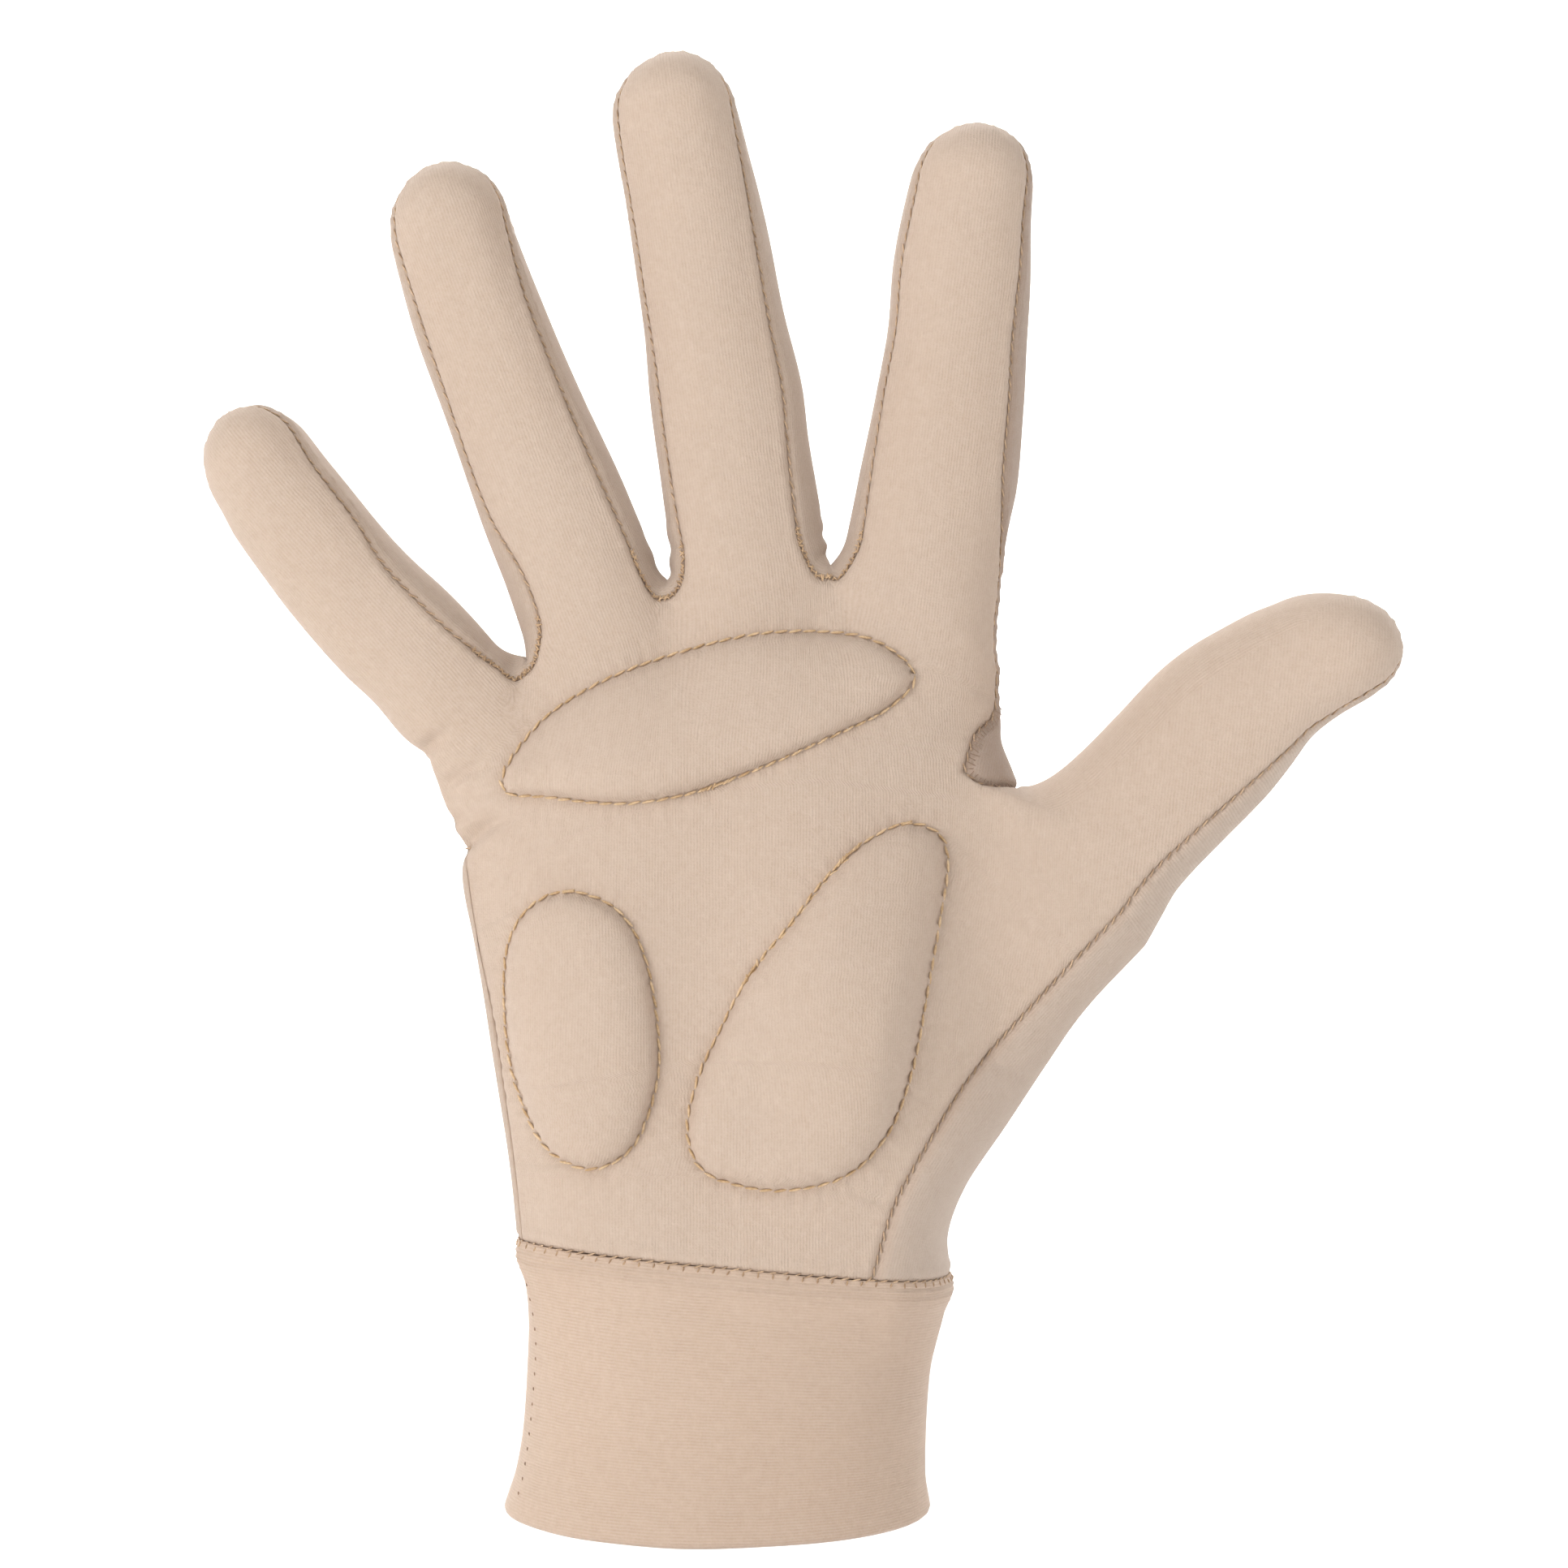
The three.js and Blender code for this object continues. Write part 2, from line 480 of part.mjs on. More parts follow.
// Point of a finger's ring, pulled to its roots on the palm near the crotches.
function strandPoint(name, quarter, t, row) {
  const finger = FINGERS[name];
  const share = { left: 0, right: 0 };
  for (const side of ["left", "right"]) share[side] = shareAlong(finger, rootPoint(name, side, "front"));
  const crossing = { front: t, back: 1 - t, right: 1, left: 0 }[quarter];
  const rootShare = mix(share.left, share.right, crossing);
  const at = rowShare(finger, rootShare, row);
  const fromFront = { front: 0, right: t, back: 1, left: 1 - t }[quarter];
  const point = creased(fingerPoint(finger, at, ringAngle(finger, at, quarter, t)), fromFront);
  const risen = Math.sin((Math.PI / 2) * Math.min(1, ((at - rootShare) * finger.length) / WEB_ROUNDING));
  if (risen >= 1) return point;
  if (quarter === "front" || quarter === "back") {
    const pulls = { left: (1 - crossing) ** 3, right: crossing ** 3 };
    for (const side of ["left", "right"]) {
      const end = side === "left" ? 0 : 1;
      const endT = quarter === "front" ? end : 1 - end;
      const bare = fingerPoint(finger, share[side], ringAngle(finger, share[side], quarter, endT));
      const pull = rootPoint(name, side, quarter).sub(bare);
      point.addScaledVector(pull, pulls[side] * (1 - risen));
    }
    return point;
  }
  const line = ROOTS[name][quarter];
  const bareAt = (place) => fingerPoint(finger, rootShare, ringAngle(finger, rootShare, quarter, place));
  if (WEB_RIDGES[line]) return point.addScaledVector(webPoint(line, fromFront).sub(bareAt(t)), 1 - risen);
  const ends = ["front", "back"].map((face) => {
    const edge = (quarter === "right") === (face === "front") ? 0 : 1;
    return rootPoint(name, quarter, face).sub(bareAt(edge));
  });
  return point.addScaledVector(ends[0].lerp(ends[1], fromFront), 1 - risen);
}

// How strongly a finger's root shapes a place on the palm, from 0 to 1. The thumb leaves its inner edge to
// the palm.
function rootWeight(name, t, row) {
  const reach = name === "thumb" ? mix(1 / THUMB_ROOT_ROW, THUMB_REACH, smooth(t * 3)) : FINGER_REACH;
  return smooth((row / rootRow(name) - 1 + reach) / reach);
}

// An edge of the palm that no other strip shares.
const isFree = (line, row) => !WEB_RIDGES[line] && !(line === "index_side" && row < THUMB_ROOT_ROW);

// Point of a strip of the palm below a finger: between its two edges, shaped by the finger's root.
function palmPoint(name, face, t, row) {
  const finger = FINGERS[name];
  const left = edgeAt(ROOTS[name].left, row);
  const right = edgeAt(ROOTS[name].right, row);
  const weight = rootWeight(name, t, row);
  const root = strandPoint(name, face, face === "front" ? t : 1 - t, 0);
  const rootLeft = rootPoint(name, "left", face);
  const rootRight = rootPoint(name, "right", face);
  const span = rootRight.x - rootLeft.x;
  const share = mix(t, (root.x - rootLeft.x) / span, weight);
  const bow = root.z - mix(rootLeft.z, rootRight.z, (root.x - rootLeft.x) / span);
  let x = mix(left.x, right.x, share);
  let z = mix(left.z, right.z, share) + bow * weight;
  if (row === 0) z = seamHeight(x);
  const held = (t === 0 && isFree(ROOTS[name].left, row)) || (t === 1 && isFree(ROOTS[name].right, row));
  if (face === "front" && !held && row > 0 && row < rootRow(name)) ({ x, z } = onPocketEdge(x, z));
  const sign = face === "front" ? -1 : 1;
  const point = new THREE.Vector3(x, mix(sign * palmDepth(x, z, face), root.y, weight), z);
  if (face === "front") {
    point.pocket = pocketHeight(x, z);
    point.y += foldDepth(x, z) * (1 - weight) - point.pocket;
  }
  return point;
}

// Point of a free side of the palm, from its front edge round its outermost line to its back edge.
function sidePoint(name, side, t, row) {
  const last = rootRow(name);
  const line = ROOTS[name][side];
  const turned = (1 - Math.cos(Math.PI * t)) / 2;
  const edges = (at) => ["front", "back"].map((face) => palmPoint(name, face, side === "right" ? 1 : 0, at));
  const [front, back] = edges(row);
  const [rootFront, rootBack] = edges(last);
  const ends = rootFront.lerp(rootBack, turned);
  const point = front.clone().lerp(back, turned);
  const root = strandPoint(name, side, side === "right" ? t : 1 - t, 0);
  if (line === "index_side") {
    const web = webPoint("index_thumb", t);
    const share = (row - THUMB_ROOT_ROW) / (last - THUMB_ROOT_ROW);
    const webEnds = webPoint("index_thumb", 0).lerp(webPoint("index_thumb", 1), turned);
    point.addScaledVector(web.sub(webEnds), 1 - smooth(share));
    return point.addScaledVector(root.sub(ends), smooth(share));
  }
  const outline = SIDE_ROWS[line][row];
  const bulge = Math.sin(Math.PI * t);
  const middle = front.clone().lerp(back, 0.5);
  const weight = smooth((row / last - 0.6) / 0.4);
  point.x += (outline.x - middle.x) * bulge * (1 - weight);
  point.z += (outline.z - middle.z) * bulge * (1 - weight);
  point.x += foldDepth(point.x, point.z) * bulge * (1 - weight);
  point.addScaledVector(root.sub(ends), weight);
  if (row === 0) point.z = seamHeight(point.x);
  return point;
}

// Grid of points over rows and steps across.
function grid(rows, steps, pointAt) {
  return rows.map((row) => Array.from({ length: steps + 1 }, (_, k) => pointAt(k / steps, row)));
}

const range = (from, to) => Array.from({ length: to - from + 1 }, (_, i) => from + i);

// The glove's skin: all strips by the piece they belong to, as grids whose faces point out.
function skinGrids() {
  const grids = { palm_panel: [], back_panel: [] };
  const strandRows = range(0, FINGER_ROWS + TIP_ROWS);
  for (const name of Object.keys(FINGERS)) {
    const palmRows = range(0, rootRow(name));
    grids.palm_panel.push(grid(palmRows, FRONT_STEPS, (t, row) => palmPoint(name, "front", t, row)));
    grids.palm_panel.push(grid(strandRows, FRONT_STEPS, (t, row) => strandPoint(name, "front", t, row)));
    grids.back_panel.push(grid(palmRows, FRONT_STEPS, (t, row) => palmPoint(name, "back", 1 - t, row)));
    grids.back_panel.push(grid(strandRows, FRONT_STEPS, (t, row) => strandPoint(name, "back", t, row)));
  }
  const strandPart = (name, side, rows) =>
    grid(rows, SIDE_STEPS, (t, row) => strandPoint(name, side, t, row));
  const strand = (name, side) => strandPart(name, side, strandRows);
  const sidePiece = (name, side) => {
    grids.palm_panel.push(strandPart(name, side, strandRows.slice(-2)));
    return strandPart(name, side, strandRows.slice(0, -1));
  };
  for (const web of ["little_ring", "ring_middle", "middle_index"]) {
    const [from, to] = web.split("_");
    grids["fourchette_" + web] = [sidePiece(from, "right"), sidePiece(to, "left")];
  }
  grids.thumb_gusset = [
    sidePiece("index", "right"),
    grid(range(THUMB_ROOT_ROW, PALM_ROWS), SIDE_STEPS, (t, row) => sidePoint("index", "right", t, row)),
  ];
  const ulnar = (from, to) =>
    grid(range(from, to), SIDE_STEPS, (t, row) => sidePoint("little", "left", 1 - t, row));
  grids.back_panel.push(ulnar(0, PINCH_ROW));
  grids.palm_panel.push(ulnar(PINCH_ROW, PALM_ROWS));
  grids.palm_panel.push(strand("little", "left"), strand("thumb", "left"));
  grids.back_panel.push(strand("thumb", "right"));
  grids.back_panel.push(
    grid(range(0, THUMB_ROOT_ROW), SIDE_STEPS, (t, row) => sidePoint("thumb", "right", t, row)),
  );
  return grids;
}

// One mesh of the whole skin: shared points, and triangles listed under their pieces.
function buildSkin() {
  const points = [];
  const found = new Map();
  const pieces = {};
  const indexOf = (point) => {
    const key = [point.x, point.y, point.z].map((value) => Math.round(value * 200)).join();
    if (!found.has(key)) {
      found.set(key, points.length);
      points.push(point);
    }
    return found.get(key);
  };
  for (const [piece, grids] of Object.entries(skinGrids())) {
    pieces[piece] = [];
    for (const rows of grids) {
      const at = rows.map((row) => row.map(indexOf));
      for (let j = 0; j + 1 < at.length; j += 1) {
        for (let k = 0; k + 1 < at[j].length; k += 1) {
          const [a, b, c, d] = [at[j][k], at[j][k + 1], at[j + 1][k + 1], at[j + 1][k]];
          for (const face of [[a, b, c], [a, c, d]]) if (new Set(face).size === 3) pieces[piece].push(face);
        }
      }
    }
  }
  return { points, pieces };
}

// Outward direction at each point of a mesh, from the faces around it and the angle each has there.
function pointNormals(points, faces) {
  const normals = points.map(() => new THREE.Vector3());
  for (const face of faces) {
    const sides = face.map((i, k) => points[face[(k + 1) % 3]].clone().sub(points[i]));
    const normal = sides[0].clone().cross(sides[1]).normalize();
    face.forEach((i, k) => {
      normals[i].addScaledVector(normal, Math.PI - sides[k].angleTo(sides[(k + 2) % 3]));
    });
  }
  return normals.map((normal) => normal.normalize());
}

// Edges of a sheet that only one of its faces has, in that face's direction.
function rimEdges(faces) {
  const edges = new Set(faces.flatMap(([a, b, c]) => [a + "," + b, b + "," + c, c + "," + a]));
  return [...edges]
    .filter((edge) => !edges.has(edge.split(",").reverse().join()))
    .map((edge) => edge.split(",").map(Number));
}

// Step back from a sheet's rim, square to it and along the sheet.
function rimSteps(points, normals, faces, size) {
  const steps = new Map();
  for (const [a, b] of rimEdges(faces)) {
    const along = points[b].clone().sub(points[a]).normalize();
    for (const i of [a, b]) {
      const inward = normals[i].clone().cross(along);
      steps.set(i, (steps.get(i) ?? new THREE.Vector3()).add(inward));
    }
  }
  for (const step of steps.values()) step.normalize().multiplyScalar(size);
  return steps;
}

// Closed solid between two copies of a sheet. Both sides of a seam split their rims along the same diagonals.
function solidBetween(outer, inner, faces) {
  const used = [...new Set(faces.flat())];
  const place = new Map(used.map((i, k) => [i, k]));
  const all = [...used.map(outer), ...used.map(inner)];
  const top = faces.map((face) => face.map((i) => place.get(i)));
  const shift = used.length;
  const index = [...top, ...top.map(([a, b, c]) => [a + shift, c + shift, b + shift])];
  for (const [a, b] of rimEdges(top)) {
    if (used[a] < used[b]) index.push([b, a, b + shift], [a, a + shift, b + shift]);
    else index.push([b, a, a + shift], [b, a + shift, b + shift]);
  }
  const geometry = new THREE.BufferGeometry();
  geometry.setAttribute("position", new THREE.Float32BufferAttribute(all.flatMap((p) => p.toArray()), 3));
  geometry.setIndex(index.flat());
  return geometry;
}

// A panel of fabric: the skin and its inner face one wall further in.
function panelGeometry(skin, normals, faces) {
  const steps = rimSteps(skin.points, normals, faces, SEAM_GAP / 2);
  const outer = (i) => skin.points[i].clone().add(steps.get(i) ?? new THREE.Vector3());
  return solidBetween(outer, (i) => outer(i).addScaledVector(normals[i], -FABRIC_WALL), faces);
}

// A pad: it fills its pocket under the fabric and reaches a little into the glove.
function padGeometry(skin, normals, name) {
  const outline = PAD_OUTLINES[name];
  const within = (i) => {
    const point = skin.points[i];
    return point.pocket !== undefined && nearestOnOutline(outline, point.x, point.z).distance > -0.01;
  };
  const centre = (face, axis) => face.reduce((sum, i) => sum + skin.points[i][axis], 0) / 3;
  const centred = (face) => nearestOnOutline(outline, centre(face, "x"), centre(face, "z")).distance > 0;
  const faces = skin.pieces.palm_panel.filter((face) => face.every(within) && centred(face));
  const steps = rimSteps(skin.points, normals, faces, PAD_CLEARANCE);
  const place = (i) => skin.points[i].clone().add(steps.get(i) ?? new THREE.Vector3());
  const top = (i) => place(i).addScaledVector(normals[i], -FABRIC_WALL - PAD_CLEARANCE);
  const bottom = (i) => {
    const point = place(i);
    point.y += skin.points[i].pocket + FABRIC_WALL + PAD_BACKING;
    return point;
  };
  return solidBetween(top, bottom, faces);
}

// The cuff: a folded band that follows the glove's lower edge and turns oval towards the hem.
function cuffGeometry(skin) {
  const faces = Object.values(skin.pieces).flat();
  const next = new Map(rimEdges(faces).map(([a, b]) => [a, b]));
  const loop = [next.keys().next().value];
  while (next.get(loop[loop.length - 1]) !== loop[0]) loop.push(next.get(loop[loop.length - 1]));
  const rim = loop.map((i) => skin.points[i]);
  const centre = new THREE.Vector2(CUFF_SHIFT, 0);
  const place = (point, section, inset) => {
    const angle = Math.atan2(point.y / CUFF_DEPTH, (point.x - centre.x) / CUFF_WIDTH);
    const down = 1 - section.at;
    const out = section.out - inset;
    const oval = smooth(down * 2.5);
    const across = squared(Math.cos(angle), FINGER_SQUARENESS) * (CUFF_WIDTH / 2);
    const deep = squared(Math.sin(angle), FINGER_SQUARENESS) * (CUFF_DEPTH / 2);
    const away = new THREE.Vector2(Math.cos(angle), Math.sin(angle)).multiplyScalar(out);
    return new THREE.Vector3(
      mix(point.x, across + centre.x * section.at, oval) + away.x,
      mix(point.y, deep, oval) + away.y,
      section.at * seamHeight(point.x) - (section.at === 1 ? SEAM_GAP : 0),
    );
  };
  const rows = [
    ...CUFF_SECTIONS.map((section) => rim.map((point) => place(point, section, 0))),
    rim.map((point) => place(point, { at: 0, out: HEM_BULGE / 2 }, CUFF_WALL / 2)),
    ...CUFF_SECTIONS.toReversed().map((section) => rim.map((point) => place(point, section, CUFF_WALL))),
  ];
  const positions = rows.flat().flatMap((point) => point.toArray());
  const index = [];
  rows.forEach((row, j) => {
    row.forEach((_, k) => {
      const [a, b] = [j * rim.length + k, j * rim.length + ((k + 1) % rim.length)];
      const [d, c] = [a, b].map((i) => (i + rim.length) % (rows.length * rim.length));
      index.push(a, c, b, a, d, c);
    });
  });
  const geometry = new THREE.BufferGeometry();
  geometry.setAttribute("position", new THREE.Float32BufferAttribute(positions, 3));
  geometry.setIndex(index);
  return geometry;
}

function addPiece(group, name, geometry, colour, roughness) {
  const material = new THREE.MeshStandardMaterial({ color: colour, roughness, metalness: 0 });
  geometry.computeVertexNormals();
  const mesh = new THREE.Mesh(geometry, material);
  mesh.name = name;
  group.add(mesh);
}

const glove = new THREE.Group();
const skin = buildSkin();
const normals = pointNormals(skin.points, Object.values(skin.pieces).flat());
for (const [name, faces] of Object.entries(skin.pieces)) {
  const colour = name.endsWith("panel") ? COLOURS.fabric : COLOURS.side;
  addPiece(glove, name, panelGeometry(skin, normals, faces), colour, 0.9);
}
addPiece(glove, "cuff", cuffGeometry(skin), COLOURS.cuff, 0.9);
for (const name of Object.keys(PADS)) {
  addPiece(glove, name, padGeometry(skin, normals, name), COLOURS.foam, 0.95);
}

export default glove;
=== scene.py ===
"""A padded skating glove for the right hand, worn with the fingers spread: stretch-knit panels, side strips
between the fingers, stitched pads and a folded wrist cuff. The shape is worked out in millimetres and built
in metres, with +Z towards the fingertips, the palm facing -Y and the thumb at +X."""
import math

import bpy
import numpy as np
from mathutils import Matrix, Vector
from mathutils.kdtree import KDTree


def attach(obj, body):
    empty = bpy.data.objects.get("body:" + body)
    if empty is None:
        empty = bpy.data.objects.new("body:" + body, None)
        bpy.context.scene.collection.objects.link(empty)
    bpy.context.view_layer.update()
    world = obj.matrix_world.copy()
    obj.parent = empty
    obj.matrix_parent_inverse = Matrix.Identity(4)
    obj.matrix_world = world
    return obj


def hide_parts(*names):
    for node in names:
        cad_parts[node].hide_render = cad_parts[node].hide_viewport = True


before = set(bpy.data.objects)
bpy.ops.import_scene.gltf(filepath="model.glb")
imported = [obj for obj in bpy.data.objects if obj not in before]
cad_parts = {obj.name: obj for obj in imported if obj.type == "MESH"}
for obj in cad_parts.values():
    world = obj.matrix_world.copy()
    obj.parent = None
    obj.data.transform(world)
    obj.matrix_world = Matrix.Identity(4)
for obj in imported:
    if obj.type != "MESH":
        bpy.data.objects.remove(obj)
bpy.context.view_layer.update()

bl_info = {
    "name": "Padded skating glove",
    "version": (1, 0, 0),
    "blender": (4, 5, 0),
    "location": "3D View > Sidebar > Glove",
    "description": "Builds a stretch-knit skating glove with stitched palm pads",
    "category": "Add Mesh",
}

MM = 0.001

# Steps of the mesh. The thumb's root and the pinch at the little finger's side lie at whole rows.
PALM_ROWS = 160
THUMB_ROOT_ROW = 120
PINCH_ROW = 128
FINGER_ROWS = 104
TIP_ROWS = 18
FRONT_STEPS = 32
SIDE_STEPS = 16
BACK_STEPS = 24

FINGER_SQUARENESS = 2.2
PALM_SQUARENESS = 2.4
WEB_ROUNDING = 7
FINGER_REACH = 0.25
THUMB_REACH = 0.8
CUFF_SHIFT = 2.3
SEAM_SLANT = 0.09
CROTCH_RADIUS = 3.4
CROTCH_SLOPE = 0.66
GUSSET_BEND = dict(x=2.2, z=-1.6, drop=1.5)
EASE_ROUNDS = 70
EASE_MARGIN = 4.0
WELD_DISTANCE = 0.012
SHORTEST_RUN = 4
RIM_STEP = 0.05
OUTLINE_STEPS = 360
STRIP_WEBS = ("little_ring", "ring_middle", "middle_index")

# Millimetres of the dips and rises at the seams and at the quilting, whose stitches lie a pitch apart.
STITCH_PITCH = 2.1
SEAM_DIP = dict(depth=0.26, width=0.65)
SEAM_ROLL = dict(height=0.2, at=1.3, width=0.8)
QUILT_DIP = dict(depth=0.32, pits=0.14, width=0.65)
RIPPLES_OUTSIDE = dict(height=0.1, at=1.4, width=1.5)
RIPPLES_INSIDE = dict(height=0.07, at=1.3, width=1.1)


# Shape tables

def rows_of(names, *rows):
    """Rows of a table as a list of dictionaries with the given column names."""
    return [dict(zip(names, row)) for row in rows]


SECTION = ("at", "left", "right", "leftSeam", "rightSeam")
FINGERS = {
    "little": dict(
        rootX=-0.443, rootZ=0.81, lean=-41.4,
        length=58.6, width=19.5, depth=17.2, forward=0, curl=6, dome=0.16,
        sections=rows_of(
            SECTION,
            (0.0, 0.6, 0.41, 0.93, 0.72), (0.12, 0.595, 0.41, 0.93, 0.67), (0.21, 0.59, 0.41, 0.93, 0.56),
            (0.31, 0.615, 0.4, 0.93, 0.51), (0.45, 0.615, 0.36, 0.93, 0.54),
            (0.57, 0.6, 0.355, 0.93, 0.7),
            (0.75, 0.535, 0.385, 0.93, 0.76), (0.85, 0.465, 0.41, 0.95, 0.85), (1.0, 0.44, 0.41, 1, 1),
        ),
    ),
    "ring": dict(
        rootX=-0.221, rootZ=0.944, lean=-20.4,
        length=72.2, width=21, depth=18.6, forward=0, curl=7, dome=0.13,
        sections=rows_of(
            SECTION,
            (0.0, 0.58, 0.49, 0.72, 0.82), (0.14, 0.56, 0.49, 0.73, 0.76), (0.28, 0.57, 0.48, 0.86, 0.71),
            (0.45, 0.55, 0.425, 0.9, 0.74), (0.66, 0.545, 0.39, 0.86, 0.76),
            (0.82, 0.5, 0.385, 0.88, 0.9),
            (0.92, 0.458, 0.395, 0.9, 0.97), (1.0, 0.44, 0.395, 1, 1),
        ),
    ),
    "middle": dict(
        rootX=0.038, rootZ=1.042, lean=-7.9,
        length=75.6, width=22, depth=19.2, forward=0, curl=7, dome=0.12,
        sections=rows_of(
            SECTION,
            (0.0, 0.478, 0.575, 0.8, 0.72), (0.1, 0.478, 0.57, 0.845, 0.705),
            (0.22, 0.48, 0.56, 0.855, 0.735),
            (0.33, 0.475, 0.565, 0.865, 0.76), (0.48, 0.453, 0.515, 0.9, 0.78),
            (0.7, 0.453, 0.464, 0.93, 0.82),
            (0.83, 0.458, 0.406, 0.93, 0.88), (0.92, 0.45, 0.365, 0.93, 0.96), (1.0, 0.42, 0.36, 1, 1),
        ),
    ),
    "index": dict(
        rootX=0.366, rootZ=0.956, lean=7.6,
        length=73.3, width=23, depth=19.2, forward=0, curl=7, dome=0.12,
        sections=rows_of(
            SECTION,
            (0.0, 0.55, 0.52, 0.8, 0.97), (0.1, 0.535, 0.51, 0.82, 0.97), (0.2, 0.51, 0.515, 0.85, 0.9),
            (0.3, 0.493, 0.535, 0.87, 0.8), (0.45, 0.46, 0.512, 0.9, 0.78),
            (0.57, 0.443, 0.475, 0.9, 0.78),
            (0.7, 0.462, 0.446, 0.9, 0.8), (0.83, 0.438, 0.388, 0.9, 0.85), (0.92, 0.41, 0.37, 0.92, 0.9),
            (1.0, 0.39, 0.38, 1, 1),
        ),
    ),
    "thumb": dict(
        rootX=0.4725, rootZ=0.444, lean=50.1,
        length=78.9, width=24.5, depth=20.4, forward=3, curl=10, dome=0.133,
        sections=rows_of(
            SECTION,
            (0.0, 0.7, 0.76, 0.65, 0.54), (0.14, 0.66, 0.675, 0.65, 0.54),
            (0.26, 0.62, 0.59, 0.65, 0.534),
            (0.32, 0.56, 0.53, 0.65, 0.53), (0.38, 0.55, 0.463, 0.65, 0.55),
            (0.5, 0.583, 0.406, 0.65, 0.58),
            (0.62, 0.625, 0.364, 0.65, 0.62), (0.69, 0.62, 0.319, 0.65, 0.68),
            (0.75, 0.59, 0.269, 0.65, 0.75),
            (0.81, 0.548, 0.266, 0.65, 0.83), (0.87, 0.485, 0.291, 0.65, 0.85), (1.0, 0.38, 0.36, 1, 1),
        ),
    ),
}
NAMES = list(FINGERS)

# Lines on the palm from the cuff seam to the crotches, as shares of the palm's width and height.
STRIP_EDGES = {
    "ulnar": [(-0.369, 0.03), (-0.398, 0.21), (-0.424, 0.35), (-0.456, 0.478), (-0.474, 0.57),
              (-0.479, 0.609),
              (-0.518, 0.685), (-0.545, 0.744)],
    "little_ring": [(-0.19, 0.016), (-0.24, 0.4), (-0.32, 0.7), (-0.366, 0.871)],
    "ring_middle": [(-0.01, 0.003), (-0.03, 0.4), (-0.075, 0.75), (-0.102, 0.983)],
    "middle_index": [(0.12, -0.007), (0.15, 0.4), (0.185, 0.75), (0.199, 1.014)],
    "index_thumb": [(0.2, -0.013), (0.28, 0.3), (0.38, 0.57), (0.449, 0.731)],
    "index_side": [(0.449, 0.731), (0.473, 0.78), (0.506, 0.806), (0.515, 0.871)],
    "thumb_outer": [(0.276, -0.018), (0.319, 0.093), (0.384, 0.185), (0.463, 0.278), (0.6, 0.4),
                    (0.735, 0.515)],
}
SIDE_OUTLINES = {
    "ulnar": [(-0.379, 0.03), (-0.411, 0.21), (-0.44, 0.35), (-0.463, 0.478), (-0.493, 0.575),
              (-0.483, 0.61),
              (-0.532, 0.68), (-0.558, 0.737)],
    "thumb_outer": [(0.427, -0.027), (0.424, 0.03), (0.455, 0.102), (0.536, 0.2), (0.62, 0.298),
                    (0.712, 0.395),
                    (0.79, 0.47)],
}
WEB_RIDGES = {
    "little_ring": dict(x=-0.36, z=0.896, front=6, back=6),
    "ring_middle": dict(x=-0.103, z=1.007, front=6, back=6),
    "middle_index": dict(x=0.203, z=1.035, front=6, back=6),
    "index_thumb": dict(x=0.549, z=0.694),
}
# Sharp creases at the little finger's base, as palm shares, with their depth and width in millimetres.
CREASES = rows_of(
    ("line", "depth", "width"),
    (((-0.565, 0.748), (-0.525, 0.772), (-0.485, 0.79)), 0.75, 1.0),
    (((-0.51, 0.708), (-0.455, 0.732), (-0.405, 0.752)), 0.7, 0.9),
    (((-0.505, 0.69), (-0.415, 0.697)), 0.35, 0.8),
    (((-0.49, 0.655), (-0.43, 0.678)), 0.4, 0.9),
    (((-0.476, 0.615), (-0.43, 0.645), (-0.35, 0.667)), 1.0, 1.1),
)
# Small folds of the strips beside the crotches: side is -1 for the left strip and 1 for the right one.
GATHERS = rows_of(
    ("web", "side", "lean", "pitch", "reach", "height", "start"),
    ("middle_index", -1, -7, 3.2, 6, 0.28, 0.5), ("little_ring", 1, -20, 3.8, 5, 0.22, 1.0),
    ("ring_middle", 1, -8, 4.6, 7, 0.25, 2.2), ("ring_middle", -1, -20, 5.0, 8, 0.15, 0.0),
)
# Rolled lumps of fabric at the crotches, in millimetres from the glove's origin.
ROLLS = rows_of(
    ("x", "y", "z", "size", "height"),
    (-28.2, -1.5, 130.8, 2.2, 0.7), (-8.2, -1.0, 141.0, 1.8, 0.5),
)
PALM_SECTIONS = rows_of(
    ("at", "left", "right", "front", "back"),
    (-0.04, -0.379, 0.427, 0.7, 0.7), (0.2, -0.411, 0.47, 0.6, 0.58), (0.4, -0.447, 0.53, 0.54, 0.5),
    (0.6, -0.488, 0.55, 0.5, 0.48), (0.8, -0.58, 0.53, 0.45, 0.43), (1.02, -0.64, 0.52, 0.38, 0.38),
)
SWELLINGS = rows_of(
    ("x", "z", "wide", "tall", "turn", "height"),
    (0.27, 0.34, 0.24, 0.36, -32, 0.2), (-0.27, 0.33, 0.2, 0.3, 4, 0.07),
    (0.0, 0.46, 0.16, 0.3, 0, -0.07),
)
FOLDS = rows_of(
    ("x", "z", "toX", "toZ", "depth", "width"),
    (-0.565, 0.75, -0.49, 0.79, 0.9, 2.6), (-0.54, 0.695, -0.4, 0.74, 1.1, 2.8),
    (-0.5, 0.625, -0.385, 0.665, 1.6, 3.2),
)
